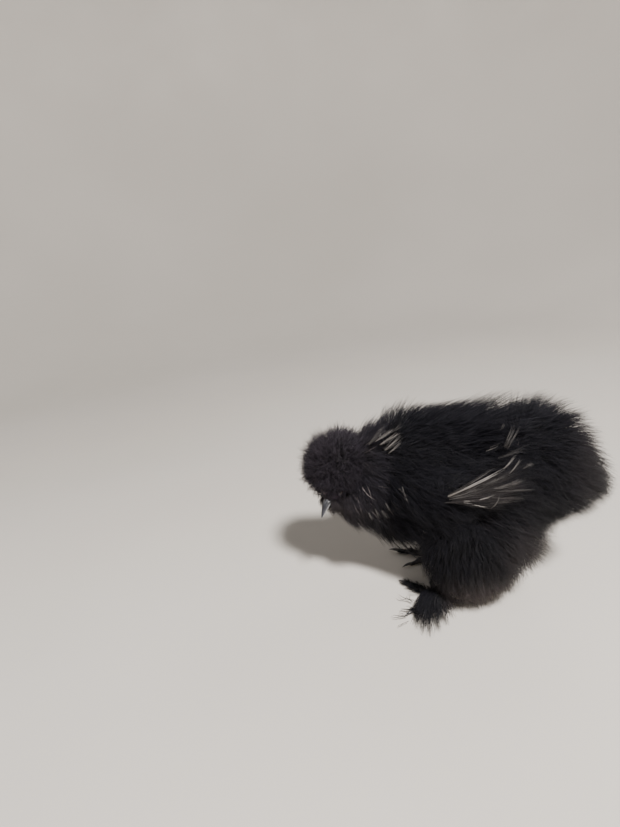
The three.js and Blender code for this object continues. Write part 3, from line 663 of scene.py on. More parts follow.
# Turns are in degrees, lengths in millimetres
legs = {
    "hock": {"left": (10, -38, 50), "right": (-10, 36, 50)},
    "foot": {"left": (-24, -49, 0), "right": (-42, 33, 0)},
    "turn": {"left": 29, "right": -7},
    "ankle": 9, "shank": 5, "claw": 11, "clawRadius": 1.8, "scutePitch": 3.1, "scuteDepth": 0.35,
    "outside": 0.82, "highest": 62,
}
toes = {
    "middle": {"turn": {"left": 0, "right": 0}, "length": 42, "radius": 4, "lift": 0},
    "inner": {"turn": {"left": -38, "right": -50}, "length": 30, "radius": 3.7, "lift": 0},
    "outer": {"turn": {"left": 80, "right": 46}, "length": 32, "radius": 3.8, "lift": 0},
    "hind": {"turn": {"left": 206, "right": 174}, "length": 24, "radius": 3.5, "lift": 0},
    "fifth": {"turn": {"left": 236, "right": 206}, "length": 17, "radius": 3.1, "lift": 9},
}


def makeFootFrame(side):
    turn = -math.radians(legs["turn"][side]) * outward[side]
    ahead = (-math.cos(turn), math.sin(turn), 0)
    out = np.array([math.sin(turn), math.cos(turn), 0]) * outward[side]
    return {"at": np.array(legs["foot"][side], float), "axes": np.array([ahead, out, (0, 0, 1)])}


footFrames = {side: makeFootFrame(side) for side in outward}


# Points down a toe's axis in the foot's frame; its pads lie flat on the floor
def toeAxis(toe, side, shares):
    spec = toes[toe]
    shares = np.asarray(shares, float)
    swell = 1 - 0.45 * shares**2 + 0.07 * np.sin(shares * 14)
    turn = math.radians(spec["turn"][side])
    reach = spec["length"] * shares + 2
    rise = spec["radius"] * swell * 0.8 + spec["lift"] * np.minimum(1, shares * 2)
    points = np.stack([math.cos(turn) * reach, math.sin(turn) * reach, rise], axis=1)
    return points, spec["radius"] * swell


def toeShell(toe, side):
    length = toes[toe]["length"]
    shares = np.linspace(0, 1, int(length / 0.75))
    points, radii = toeAxis(toe, side, shares)
    tip = points[-1] + (points[-1] - points[-2]) / np.linalg.norm(points[-1] - points[-2]) * radii[-1] * 0.35
    points, radii = np.vstack([points, tip]), np.append(radii, radii[-1] * 0.55)
    phase = 2 * math.pi * length / legs["scutePitch"]

    def swell(k, angles):
        share = min(1, k / (len(shares) - 1))
        top = np.clip(np.sin(angles), 0, 1) ** 0.7
        scute = legs["scuteDepth"] * (abs(math.sin(phase * share / 2)) ** 0.5 - 0.6)
        pad = 0.25 * math.sin(share * 14) * np.clip(-np.sin(angles), 0, 1)
        return 1 + (scute * top + pad) / radii[k]

    world = toBird(footFrames[side], points)
    flat = tubeShell(world, radii, 20, swell)
    flat[0][:, 2] = np.maximum(flat[0][:, 2], 0.4)
    return flat


def shankShell(side):
    shares = np.linspace(-0.1, 1, 40)
    foot, hock = np.array(legs["foot"][side], float), np.array(legs["hock"][side], float)
    foot[2] = legs["ankle"]
    points = foot + (hock - foot) * shares[:, None]
    swell = np.interp(shares, [0, 0.2, 0.55, 0.85, 1], [1.05, 0.92, 0.86, 1.05, 1.3])
    phase = np.linalg.norm(hock - foot) / legs["scutePitch"] * math.pi
    plates = 1 + 0.05 * (np.abs(np.sin(phase * shares)) ** 0.5 - 0.6)
    return tubeShell(points, swell * plates * legs["shank"], 22)


skinLook = {"voxel": 1.15, "smoothing": 3, "lowest": 0.05, "shade": 0.35, "warm": 0.6, "pale": 0.05}
# A ring of skin round each eye: wide and high are in eye radii, out and turn set it on the cheek
lids = {"ring": 1.05, "sections": 40, "sides": 12, "inset": 0.2, "wide": 1.12, "high": 1.1, "flat": 0.86,
        "out": 2.6, "turn": 12}


def lidShell(sign):
    sections, sides = lids["sections"], lids["sides"]
    radius = eyes["radius"] - lids["inset"]
    points, faces = [], []
    for a in np.linspace(0, 2 * np.pi, sections, endpoint=False):
        middle = np.array([math.cos(a) * radius * lids["wide"], 0, math.sin(a) * radius * lids["high"]])
        # fuller above, and creased
        thick = lids["ring"] * (1.1 + 0.16 * math.sin(a)) * (1 + 0.06 * math.sin(9 * a))
        for b in np.linspace(0, 2 * np.pi, sides, endpoint=False):
            sideways = np.array([0, math.sin(b) * thick * lids["flat"], 0])
            points.append(middle + unit(middle) * math.cos(b) * thick + sideways)
    for i in range(sections):
        here, beyond = i * sides, (i + 1) % sections * sides
        for j in range(sides):
            following = (j + 1) % sides
            faces.append((here + j, here + following, beyond + following, beyond + j))
    turned = turnedLevel(np.array(points), -lids["turn"] * sign)
    return toBird(headFrame, turned + flipped(eyes["at"] + np.array((0, lids["out"], 0)), sign)), faces


def makeSkin():
    headForms = ("face", "crest")
    names = [name for name in forms if name not in headForms]
    shells = [formShell(forms[name], "inner", 5) for name in (*names, *headForms)]
    for side in outward:
        at, size = forms["wing" + side.title()]["inner"][1]
        shells.append(blobShell(wingFrames[side], at, size, 4))
        shells.append(blobShell(footFrames[side], (1, 0, 6), (8, 7, 5.6), 4))
        shells.append(shankShell(side))
        shells += [toeShell(toe, side) for toe in toes]
    data = fuseShells("skin", shells, skinLook["voxel"], skinLook["smoothing"])
    points = meshPoints(data)
    points[:, 2] = np.maximum(points[:, 2], skinLook["lowest"])
    data.vertices.foreach_set("co", toModel(points).ravel())
    data.update()
    return data


skinData = makeSkin()
skinPoints = meshPoints(skinData)
print("skin fused:", len(skinPoints), "points")

partOrder = list(forms)
legPart = len(partOrder)


# Which form each point of the skin belongs to; the legs come last, low down and outside every form
def partsOf(points):
    scores = np.array([fieldOf(toLocal(frameOf(form), points), form["inner"]) for form in forms.values()])
    part = np.argmax(scores, axis=0)
    part[(scores.max(axis=0) < legs["outside"]) & (points[:, 2] < legs["highest"])] = legPart
    return part


skinParts = partsOf(skinPoints)
# How far points lie from the nearer eye
def eyeDistance(points, size):
    local = toLocal(headFrame, points)
    return np.minimum(*[blobDistance(local, flipped(eyes["at"], sign), size) for sign in (1, -1)])


bareMask = np.clip(1.5 - eyeDistance(skinPoints, (9.5, 8, 8)), 0, 1)
skinMarks = {
    "bare": bareMask * (skinParts == partOrder.index("face")),
    "scaly": skinParts == legPart,
    "warm": markAndPaintedLightAt("warm", skinPoints) * skinLook["warm"],
    "pale": markAndPaintedLightAt("pale", skinPoints) * skinLook["pale"],
    "shade": np.full(len(skinPoints), skinLook["shade"]),
    "along": np.zeros(len(skinPoints)),
}
for label, values in skinMarks.items():
    setAttribute(skinData, label, values)
smoothFaces(skinData)


def addLids():
    points, faces = joinShells([lidShell(sign) for sign in headSides.values()])
    lidMarks = {"bare": 1.0, "shade": skinLook["shade"]}
    marks = {label: np.full(len(points), lidMarks.get(label, 0.0)) for label in skinMarks}
    lidData = meshFrom("lids", points, faces, marks)
    joined = bmesh.new()
    joined.from_mesh(skinData)
    joined.from_mesh(lidData)
    joined.to_mesh(skinData)
    joined.free()
    bpy.data.meshes.remove(lidData)


# A strand is a three-sided rod of four stations, drawn to a point
stations = np.array([0.0, 0.33, 0.67, 1.0])
strandTaper = np.array([1.0, 0.86, 0.56])
pointStation = np.array([0, 0, 0, 1, 1, 1, 2, 2, 2, 3])
pointSide = np.array([0, 1, 2, 0, 1, 2, 0, 1, 2, 1])
strandRod = {"flat": 0.62, "points": 10, "triangles": 16, "lowest": 0.3, "mapPatch": 0.003}
mostTriangles = 190000  # in one piece of the coat


def bezier(start, bend, tip, t):
    start, bend, tip, t = start[..., None, :], bend[..., None, :], tip[..., None, :], t[..., None]
    return start * (1 - t) ** 2 + bend * 2 * t * (1 - t) + tip * t**2


def strandFaces(count):
    quads, tris = [], [(2, 1, 0)]
    for k in range(2):
        for i in range(3):
            j = (i + 1) % 3
            quads.append((3 * k + i, 3 * k + j, 3 * k + 3 + j, 3 * k + 3 + i))
    tris += [(6 + i, 6 + (i + 1) % 3, 9) for i in range(3)]
    loops = np.array([i for face in tris + quads for i in face])
    sizes = np.array([3] * len(tris) + [4] * len(quads))
    allLoops = (loops[None, :] + strandRod["points"] * np.arange(count)[:, None]).ravel()
    return allLoops, np.tile(sizes, count), loops


# centres (n, 4, 3), radius (n), over (n, 3), spot (n, 2), offset (n), marks {name: (n)}
def strandPiece(name, strands, material):
    centres, radius, over = strands["centres"], strands["radius"], strands["over"]
    count = len(centres)
    tangents = np.empty((count, 3, 3))
    tangents[:, 0] = centres[:, 1] - centres[:, 0]
    tangents[:, 1:] = centres[:, 2:] - centres[:, :-2]
    tangents = unit(tangents)
    across = unit(np.cross(tangents, over[:, None, :]))
    upward = np.cross(across, tangents)
    angles = np.radians([90, 210, 330])
    ring = np.cos(angles)[None, None, :, None] * across[:, :, None, :]
    ring = ring + strandRod["flat"] * np.sin(angles)[None, None, :, None] * upward[:, :, None, :]
    size = radius[:, None] * strandTaper[None, :]
    points = np.empty((count, strandRod["points"], 3))
    # the last station is a single point
    points[:, :9] = (centres[:, :3, None, :] + ring * size[:, :, None, None]).reshape(count, 9, 3)
    points[:, 9] = centres[:, 3]
    points[:, :, 2] = np.maximum(points[:, :, 2], strandRod["lowest"])
    loops, sizes, pattern = strandFaces(count)
    data = bpy.data.meshes.new(name)
    data.vertices.add(count * strandRod["points"])
    data.vertices.foreach_set("co", toModel(points.reshape(-1, 3)).ravel().astype(np.float32))
    data.loops.add(len(loops))
    data.loops.foreach_set("vertex_index", loops.astype(np.int32))
    data.polygons.add(len(sizes))
    data.polygons.foreach_set("loop_start", np.concatenate([[0], np.cumsum(sizes)[:-1]]).astype(np.int32))
    data.polygons.foreach_set("use_smooth", np.ones(len(sizes), bool))
    # each tuft is a small patch of the map at its root's place
    patch = strandRod["mapPatch"]
    lengthwise = pointStation[pattern] / 3 - 0.5
    sideways = pointSide[pattern] / 2 - 0.5
    u = strands["spot"][:, 0, None] + patch * (0.8 * strands["offset"][:, None] + 0.2 * sideways[None])
    v = strands["spot"][:, 1, None] + patch * np.repeat(lengthwise[None], count, 0)
    layer = data.uv_layers.new(name="OFBake")
    layer.data.foreach_set("uv", np.stack([u, v], axis=-1).ravel().astype(np.float32))
    setAttribute(data, "along", np.tile(pointStation / 3, count))
    for label, values in strands["marks"].items():
        setAttribute(data, label, np.repeat(values, strandRod["points"]))
    data.update()
    data.validate()
    addPiece(data, material)


strandKeys = ("centres", "radius", "over", "spot", "offset")


def takeStrands(strands, chosen):
    taken = {key: strands[key][chosen] for key in strandKeys}
    taken["marks"] = {label: values[chosen] for label, values in strands["marks"].items()}
    return taken


def joinStrands(groups):
    joined = {key: np.concatenate([group[key] for group in groups]) for key in strandKeys}
    marks = [group["marks"] for group in groups]
    joined["marks"] = {label: np.concatenate([mark[label] for mark in marks]) for label in marks[0]}
    return joined


# Where a root lies on an unwrap of its form: round it and up it
def unwrapSpot(form, roots):
    way = unit(toLocal(frameOf(form), roots) - np.array(form["centre"], float))
    u = 0.5 + np.arctan2(way[:, 1], -way[:, 0]) / (2 * np.pi)
    v = 0.5 + np.arcsin(np.clip(way[:, 2], -1, 1)) / np.pi
    return np.stack([0.01 + 0.98 * u, 0.01 + 0.98 * v], axis=1)


# Tufts root on the skin's triangles, each as likely as its area
skinData.calc_loop_triangles()
cornerIndex = np.zeros(len(skinData.loop_triangles) * 3, np.int32)
skinData.loop_triangles.foreach_get("vertices", cornerIndex)
cornerIndex = cornerIndex.reshape(-1, 3)
skinCorners = skinPoints[cornerIndex]
triangleNormals = np.cross(skinCorners[:, 1] - skinCorners[:, 0], skinCorners[:, 2] - skinCorners[:, 0])
triangleAreas = np.linalg.norm(triangleNormals, axis=1) / 2
triangleNormals = unit(triangleNormals)
triangleMiddles = skinCorners.mean(1)
triangleParts = partsOf(triangleMiddles)


def rootsOn(chosen, count, random):
    areas = triangleAreas * chosen
    picks = np.searchsorted(np.cumsum(areas), random.random(count) * areas.sum())
    picks = np.minimum(picks, len(areas) - 1)
    a, b = random.random(count), random.random(count)
    over = a + b > 1
    a, b = np.where(over, 1 - a, a), np.where(over, 1 - b, b)
    first, second, third = skinCorners[picks].transpose(1, 0, 2)
    return first + a[:, None] * (second - first) + b[:, None] * (third - first), triangleNormals[picks]


# How the coat lies: it flows from a pole over the form, droops, and its tips end on the outer form.
# Reach is how far tufts run from pole, middle and far side. Wisps are tufts that pass the form.
# What most coats share stands once, above what is their own.
plainCoat = {
    "strands": 10, "stray": 0.36, "ragged": 0.36, "radius": 0.35, "grow": 0, "wisps": 0.1, "passing": 4,
    "toss": 0, "merge": True,
}
ownCoats = {
    "torso": {
        "seed": 11, "tufts": 3160, "pole": (-1, 0, 0.2), "droop": (0.1, 0, -0.2), "reach": (30, 42, 44),
        "depth": 20, "width": 4.4, "thick": 3.4, "ragged": 0.34, "wave": 1.6, "uneven": 6, "grow": 3,
        "wisps": 0.07,
    },
    "tail": {
        "seed": 23, "tufts": 1350, "strands": 11, "pole": (-0.8, 0, 0.6), "droop": (0.3, 0, -0.2),
        "reach": (18, 32, 14), "depth": 25, "width": 4.4, "thick": 3.8, "wave": 1.8, "uneven": 7, "grow": -3.2,
        "wisps": 0.16, "passing": 7,
    },
    "neck": {
        "seed": 37, "tufts": 1250, "pole": (-0.75, -0.5, 0.55), "droop": (0.2, 0, -0.55), "stray": 0.3,
        "reach": (24, 32, 34), "depth": 15, "width": 3.4, "thick": 2.8, "ragged": 0.34, "radius": 0.34,
        "wave": 1.4, "uneven": 6, "grow": 1, "wisps": 0.08,
    },
    "crest": {
        "seed": 41, "tufts": 1900, "strands": 7, "pole": (0.3, 0, 0.95), "droop": (0, 0, -0.3), "stray": 0.4,
        "reach": (0, 7, 14), "depth": 15, "width": 3.4, "thick": 3.4, "ragged": 0.42, "radius": 0.27,
        "wave": 2.1, "uneven": 4.5, "grow": -2.5, "wisps": 0.16, "passing": 5.5, "toss": 4.0, "merge": False,
    },
    "thigh": {
        "seed": 53, "tufts": 960, "pole": (0, 0, 1), "droop": (0.3, 0, -0.1), "reach": (24, 30, 8),
        "depth": 19, "width": 4.2, "thick": 3.6, "wave": 1.8, "uneven": 7, "grow": -1,
    },
    "wing": {
        "seed": 61, "tufts": 330, "pole": (-1, 0, 0), "droop": (0.2, 0, -0.05), "stray": 0.3,
        "reach": (16, 22, 22), "depth": 8, "width": 3.2, "thick": 2.4, "ragged": 0.3, "radius": 0.36,
        "wave": 1.2, "uneven": 3, "wisps": 0, "merge": False,
    },
    "face": {
        "seed": 71, "tufts": 390, "strands": 7, "pole": (1, 0, -0.1), "droop": (0, 0, -0.1), "stray": 0.2,
        "reach": (6, 8, 10), "depth": 3, "width": 1.4, "thick": 1.2, "ragged": 0.3, "radius": 0.17,
        "wave": 0.4, "uneven": 2, "grow": 1, "passing": 3, "merge": False,
    },
    "beard": {
        "seed": 79, "tufts": 330, "strands": 9, "pole": (0.2, 0, 1), "droop": (0.1, 0, -0.4), "stray": 0.35,
        "reach": (8, 13, 12), "depth": 7, "width": 2.2, "thick": 2.0, "radius": 0.2, "wave": 0.8,
        "uneven": 4, "wisps": 0.15, "passing": 3, "merge": False,
    },
}
coats = {name: {**plainCoat, **own} for name, own in ownCoats.items()}
# Under the beak and on the cheeks the feathers fill out to a form of their own
beard = {
    "frame": headFrame, "centre": (2, 0, -4), "highest": -1, "rearmost": -12,
    "outer": [((11, 1, -15.5), (17, 17, 15)), ((-2, 0, -7), (21, 21, 18))],
}
# No tuft crosses the beak, the comb and the eyes: middle and half sizes of each opening
faceOpenings = [
    ((30, 0, -8), (14, 7.6, 8.5)), ((20, 0, 7), (7, 6, 5)), ((12, 17, 1), (7, 10, 5.6)),
    ((12, -17, 1), (7, 10, 5.6)),
]


# A tuft stands off the skin, bends over along its lie and ends on the outer form
tuftShape = {
    "start": 1.2, "aimRise": 0.8, "bendRise": 0.62, "bendReach": 0.38, "wispTight": 0.36, "onEnvelope": 1.06,
}


def tuftPaths(form, spec, roots, normals, random):
    place = frameOf(form)
    points, out = toLocal(place, roots), normals @ place["axes"].T
    centre, pole = np.array(form["centre"], float), unit(np.array(spec["pole"], float))
    way = unit(points - centre)
    towards = way @ pole
    lie = unit(way * towards[:, None] - pole)
    share = np.degrees(np.arccos(np.clip(towards, -1, 1)))
    along = lie + np.array(spec["droop"], float)
    along = unit(along - out * (along * out).sum(1)[:, None])
    side = np.cross(out, along)
    along = unit(along + side * random.normal(0, spec["stray"], len(points))[:, None])
    reach = np.interp(share, [0, 90, 180], spec["reach"]) * random.uniform(0.75, 1.25, len(points))
    stand = random.uniform(0.55, 1.25, len(points))
    toss = random.normal(0, spec["toss"], points.shape)
    aim = points + along * reach[:, None] + toss + out * (spec["depth"] * tuftShape["aimRise"] * stand)[:, None]
    tip = surfaceAlong(form, "outer", unit(aim - centre), spec["grow"])
    # some tufts stop short of the outer form, and a few wisps pass it
    short = spec["uneven"] * (0.35 - random.random(len(points)) ** 0.8)
    isWisp = random.random(len(points)) < spec["wisps"]
    tip += unit(aim - points) * np.where(isWisp, spec["passing"], short)[:, None]
    bend = points + out * (spec["depth"] * tuftShape["bendRise"] * stand)[:, None]
    bend += along * reach[:, None] * tuftShape["bendReach"]
    start = points - out * tuftShape["start"]
    start, bend, tip = [toBird(place, p) for p in (start, bend, tip)]
    # where forms meet, tufts reach on to the envelope; those that stay deep inside it are left out
    further = unit(aim - points) @ place["axes"]
    if spec["merge"]:
        for _ in range(int(envelope["most"] / envelope["step"])):
            inside = envelopeAt(tip) > tuftShape["onEnvelope"]
            tip[inside] += further[inside] * envelope["step"]
    keep = envelopeAt(tip) < (envelope["buried"] if spec["merge"] else math.inf)
    tight = np.where(isWisp, tuftShape["wispTight"], 1.0)
    return [p[keep] for p in (start, bend, tip, out @ place["axes"], unwrapSpot(form, roots), tight)]


# Tufts of strands along curves: each is a spindle, narrow at its root and drawn to a wisp. Strands
# scatter across it, end unevenly and wave a little.
strandLook = {
    "scatter": 0.55, "farthest": 1.3, "longest": 1.06, "splay": 0.3, "thinnest": 0.65, "thickest": 1.3,
}


def strandsAlong(start, bend, tip, out, spot, tight, spec, random):
    count, strands = len(start), spec["strands"]
    side = unit(np.cross(out, unit(tip - start)))
    most = strandLook["farthest"]
    a, b = [random.normal(0, strandLook["scatter"], (count, strands)).clip(-most, most) for _ in range(2)]
    size = random.uniform(0.7, 1.3, (count, 1)) * np.broadcast_to(tight, count)[:, None]
    length = strandLook["longest"] - spec["ragged"] * random.random((count, strands)) ** 1.6
    t = stations[None, None, :] * length[..., None]
    path = bezier(start[:, None], bend[:, None], tip[:, None], t)
    spindle = 0.42 + 0.9 * np.sin(np.pi * np.clip(t, 0, 1) ** 0.85)
    spindle += spec.get("splay", strandLook["splay"]) * t
    path += side[:, None, None, :] * (a * size * spec["width"])[..., None, None] * spindle[..., None]
    path += out[:, None, None, :] * (b * size * spec["thick"])[..., None, None] * spindle[..., None]
    phase, pitch = random.random((count, strands)), random.uniform(0.5, 1.1, (count, strands))
    wave = np.sin(2 * np.pi * (pitch[..., None] * t + phase[..., None])) - np.sin(2 * np.pi * phase)[..., None]
    lift = random.normal(0, 0.6, (count, strands, 1, 1))
    path += side[:, None, None, :] * wave[..., None] * t[..., None] * spec["wave"]
    path += out[:, None, None, :] * wave[..., None] * t[..., None] * spec["wave"] * lift
    total, thickness = count * strands, (strandLook["thinnest"], strandLook["thickest"])
    isPale = random.random((count, strands)) < markAndPaintedLightAt("pale", tip)[:, None]
    isWarm = markAndPaintedLightAt("warm", tip)[:, None] * random.uniform(0.55, 1.0, (count, strands))
    shade = 0.6 * random.random((count, 1)) + 0.4 * random.random((count, strands))
    return {
        "centres": path.reshape(total, 4, 3),
        "radius": (spec["radius"] * random.uniform(*thickness, (count, strands))).ravel(),
        "over": np.repeat(out, strands, axis=0),
        "spot": np.repeat(spot, strands, axis=0),
        "offset": np.tile((np.arange(strands) + 0.5) / strands - 0.5, count),
        "marks": {
            "warm": isWarm.ravel(), "pale": (isPale * random.uniform(0.25, 0.9, (count, strands))).ravel(),
            "shade": shade.ravel(),
        },
    }


def growTufts(form, spec, roots, normals, random):
    return strandsAlong(*tuftPaths(form, spec, roots, normals, random), spec, random)


def clearOfFace(strands, share, random):
    keep = np.ones(len(strands["centres"]), bool)
    for station in (2, 3):  # the strand's third station and its tip
        local = toLocal(headFrame, strands["centres"][:, station])
        for at, size in faceOpenings:
            inside = blobDistance(local, at, size) < 1
            keep &= ~(inside & (random.random(len(keep)) < share))
    return takeStrands(strands, keep)


def coatOf(formName, coatName, seedShift=0, where=True):
    spec = coats[coatName]
    random = np.random.default_rng(spec["seed"] + seedShift)
    chosen = (triangleParts == partOrder.index(formName)) & where
    roots, normals = rootsOn(chosen, spec["tufts"], random)
    return growTufts(forms[formName], spec, roots, normals, random), random


def splitPieces(name, strands, material):
    pieces = math.ceil(len(strands["centres"]) * strandRod["triangles"] / mostTriangles)
    for i in range(pieces):
        chosen = np.arange(i, len(strands["centres"]), pieces)
        label = name if pieces == 1 else name + "ABCDEFG"[i]
        strandPiece(label, takeStrands(strands, chosen), material)


def addCoat():
    body, _ = coatOf("torso", "torso")
    upper = body["centres"][:, 0, 2] > forms["torso"]["backAbove"]
    splitPieces("backCoat", takeStrands(body, upper), plumage["body"])
    splitPieces("breastCoat", takeStrands(body, ~upper), plumage["body"])
    tail, _ = coatOf("tail", "tail")
    splitPieces("tailCoat", tail, plumage["body"])
    neck, random = coatOf("neck", "neck")
    splitPieces("hackle", clearOfFace(neck, 1.0, random), plumage["hackle"])
    crest, random = coatOf("crest", "crest")
    splitPieces("crestCoat", clearOfFace(crest, 0.93, random), plumage["crest"])
    for side, sign in outward.items():
        thigh, _ = coatOf("thigh" + side.title(), "thigh", sign)
        splitPieces("fluff" + side.title(), thigh, plumage["body"])
        wing, _ = coatOf("wing" + side.title(), "wing", sign)
        splitPieces("coverts" + side.title(), wing, plumage["body"])
    splitPieces("faceTufts", faceTufts(), plumage["crest"])
    splitPieces("beardTufts", beardTufts(), plumage["hackle"])


def faceTufts():
    beakAway = blobDistance(toLocal(headFrame, triangleMiddles), (20, 0, -4), (10, 8, 9))
    return coatOf("face", "face", 0, (eyeDistance(triangleMiddles, 9.2) > 1) & (beakAway > 1))[0]


def beardTufts():
    spec = coats["beard"]
    random = np.random.default_rng(spec["seed"])
    local = toLocal(headFrame, triangleMiddles)
    chosen = (triangleParts == partOrder.index("face")) & (local[:, 2] < beard["highest"])
    roots, normals = rootsOn(chosen & (local[:, 0] > beard["rearmost"]), spec["tufts"], random)
    return clearOfFace(growTufts(beard, spec, roots, normals, random), 1.0, random)


# Frayed strands that lie on top of the coat. Each bundle is given by the x and z of its start, bend
# and tip, then the strands in it, how far its tips spread, how pale and how brown they are, and
# how thick.
wingBundles = [
    ((-3, 137), (24, 150), (49, 160), 9, 1.2, 0.8, 0, 0.27),
    ((45, 159), (51, 163), (56, 170), 4, 1.5, 0.5, 0, 0.22),
    ((-2, 136), (25, 148), (60, 158), 6, 2.8, 0.4, 0, 0.2),
    ((-3, 138), (20, 151), (39, 161), 5, 1.8, 0.32, 0, 0.18),
    ((50, 155), (56, 160), (61, 167), 5, 2.0, 0.36, 0, 0.22),
    ((42, 143), (52, 146), (62, 149), 6, 1.8, 0.42, 0.4, 0.22),
    ((37, 144), (49, 144), (63, 146), 6, 2.0, 0.28, 0.4, 0.22),
    ((39, 141), (55, 139), (74, 135), 6, 3.0, 0.15, 0.5, 0.22),
    ((35, 136), (49, 134), (65, 128), 6, 3.0, 0.15, 0.5, 0.22),
    ((-2, 135), (13, 139), (32, 145), 5, 1.8, 0.28, 0.4, 0.22),
    ((21, 134), (29, 135), (38, 138), 4, 0.8, 0.6, 0, 0.24),
    ((11, 132), (23, 129), (35, 125), 5, 1.0, 0.6, 0, 0.26),
    ((34, 125), (40, 128), (42, 137), 3, 0.8, 0.42, 0, 0.22),
    ((8, 133), (15, 134), (22, 134), 4, 0.8, 0.4, 0, 0.22),
    ((-6, 131), (6, 132), (17, 133), 8, 1.6, 0.06, 0.8, 0.26),
    ((34, 131), (46, 128), (60, 130), 8, 2.6, 0.12, 0.5, 0.24),
    ((-2, 136), (30, 147), (66, 160), 30, 9, 0.03, 0.7, 0.22),
    ((0, 135), (34, 141), (70, 147), 36, 10, 0.03, 0.8, 0.22),
    ((0, 133), (34, 136), (68, 134), 30, 9, 0.02, 0.7, 0.22),
    ((2, 132), (26, 129), (52, 124), 18, 6, 0.02, 0.6, 0.22),
]
coatBundles = [
    ((29, 171), (35, 173), (41, 176), 3, 0.8, 0.42, 0, 0.24),
    ((45, 174), (50, 181), (55, 189), 8, 2.6, 0.2, 0, 0.2),
    ((48, 173), (53, 182), (60, 192), 7, 3.0, 0.16, 0, 0.2),
    ((41, 186), (43, 189), (45, 193), 4, 1.4, 0.24, 0, 0.2),
    ((40, 167), (52, 170), (65, 175), 6, 2.0, 0.12, 0, 0.2),
    ((61, 159), (66, 161), (71, 162), 8, 1.8, 0.16, 0, 0.22),
    ((-78, 174), (-68, 179), (-57, 186), 7, 2.4, 0.75, 0, 0.16),
    ((-73, 171), (-63, 176), (-53, 183), 8, 2.6, 0.75, 0, 0.16),
    ((-68, 167), (-60, 173), (-51, 181), 8, 2.6, 0.8, 0, 0.16),
    ((-64, 164), (-57, 169), (-50, 176), 6, 2.4, 0.5, 0, 0.16),
    ((-84, 172), (-76, 179), (-70, 187), 12, 3.0, 0.14, 0, 0.22),
    ((-60, 183), (-56, 186), (-51, 189), 6, 2.0, 0.16, 0, 0.2),
    ((-50, 135), (-47, 130), (-43, 124), 6, 1.2, 0.62, 0, 0.24),
    ((-87, 103), (-85, 97), (-83, 92), 7, 2.6, 0.3, 0.2, 0.15),
    ((-80, 107), (-78, 101), (-76, 95), 9, 2.8, 0.26, 0.3, 0.15),
    ((-74, 105), (-71, 100), (-68, 93), 9, 2.8, 0.3, 0.3, 0.15),
    ((-69, 114), (-65, 107), (-60, 101), 15, 4, 0.26, 0.3, 0.15),
    ((-63, 117), (-58, 110), (-54, 103), 15, 4, 0.25, 0.3, 0.15),
]
# Strands lie on the plumage's side, rise and lift above it; spot places them on the map
bundles = {
    "seed": 83, "rise": 0.8, "lift": 0.5, "waver": 0.5, "startSpread": 0.6, "scatter": 0.6, "wholeShare": 0.55,
    "farthest": 110.0, "nearest": 20.0, "bodyHeight": 110, "mapWidth": 320,
}


# How far out to a side the plumage reaches at each x and z
def sideReach(x, z, sign):
    found = np.full(len(x), bundles["nearest"])
    waiting = np.arange(len(x))
    for y in np.arange(bundles["farthest"], bundles["nearest"], -1.0):
        points = np.stack([x[waiting], np.full(len(waiting), y * sign), z[waiting]], axis=1)
        inside = envelopeAt(points) > 1
        found[waiting[inside]] = y
        waiting = waiting[~inside]
    return found


def bundleStrands(bundle, sign, random):
    start, bend, tip, count, spread, pale, warm, radius = bundle
    start, bend, tip = [np.array(p, float) for p in (start, bend, tip)]
    across = unit(tip - start)[::-1] * (-1, 1)
    side = random.normal(0, bundles["scatter"], (count, 1))
    first = start + across * side * bundles["startSpread"]
    middle = bend + across * side * spread * 0.5 + random.normal(0, bundles["waver"], (count, 2))
    last = tip + across * side * spread + (tip - bend) * random.uniform(-0.35, 0.12, (count, 1))
    # some strands leave the bundle only on its way
    begin = np.where(random.random(count) < bundles["wholeShare"], 0, random.uniform(0, 0.5, count))
    t = begin[:, None] + (1 - begin[:, None]) * stations[None]
    flat = bezier(first, middle, last, t)
    y = sideReach(flat[..., 0].ravel(), flat[..., 1].ravel(), sign).reshape(t.shape)
    points = np.stack([flat[..., 0], y * sign, flat[..., 1]], axis=-1)
    out = unit((points - (0, 0, bundles["bodyHeight"])) * (0, 1, 1))
    lift = bundles["rise"] + random.uniform(-0.4, 1, (count, 1)) * bundles["lift"] * (0.5 + t)
    points = points + out * lift[..., None]
    return {
        "centres": points, "radius": radius * random.uniform(0.7, 1.2, count), "over": out[:, 1],
        "spot": points[:, 0, [0, 2]] / bundles["mapWidth"] + (0.5, 0.2),
        "offset": random.uniform(-0.5, 0.5, count),
        "marks": {
            "warm": warm * random.uniform(0.5, 1, count),
            "pale": pale * random.uniform(0.55, 1.05, count).clip(0, 1),
            "shade": random.random(count),
        },
    }


def addBundles():
    for side, sign in outward.items():
        random = np.random.default_rng(bundles["seed"] + sign)
        wing = joinStrands([bundleStrands(bundle, sign, random) for bundle in wingBundles])
        coat = joinStrands([bundleStrands(bundle, sign, random) for bundle in coatBundles])
        strandPiece("wingFan" + side.title(), wing, plumage["flight"])
        strandPiece("paleStrands" + side.title(), coat, plumage["flight"])


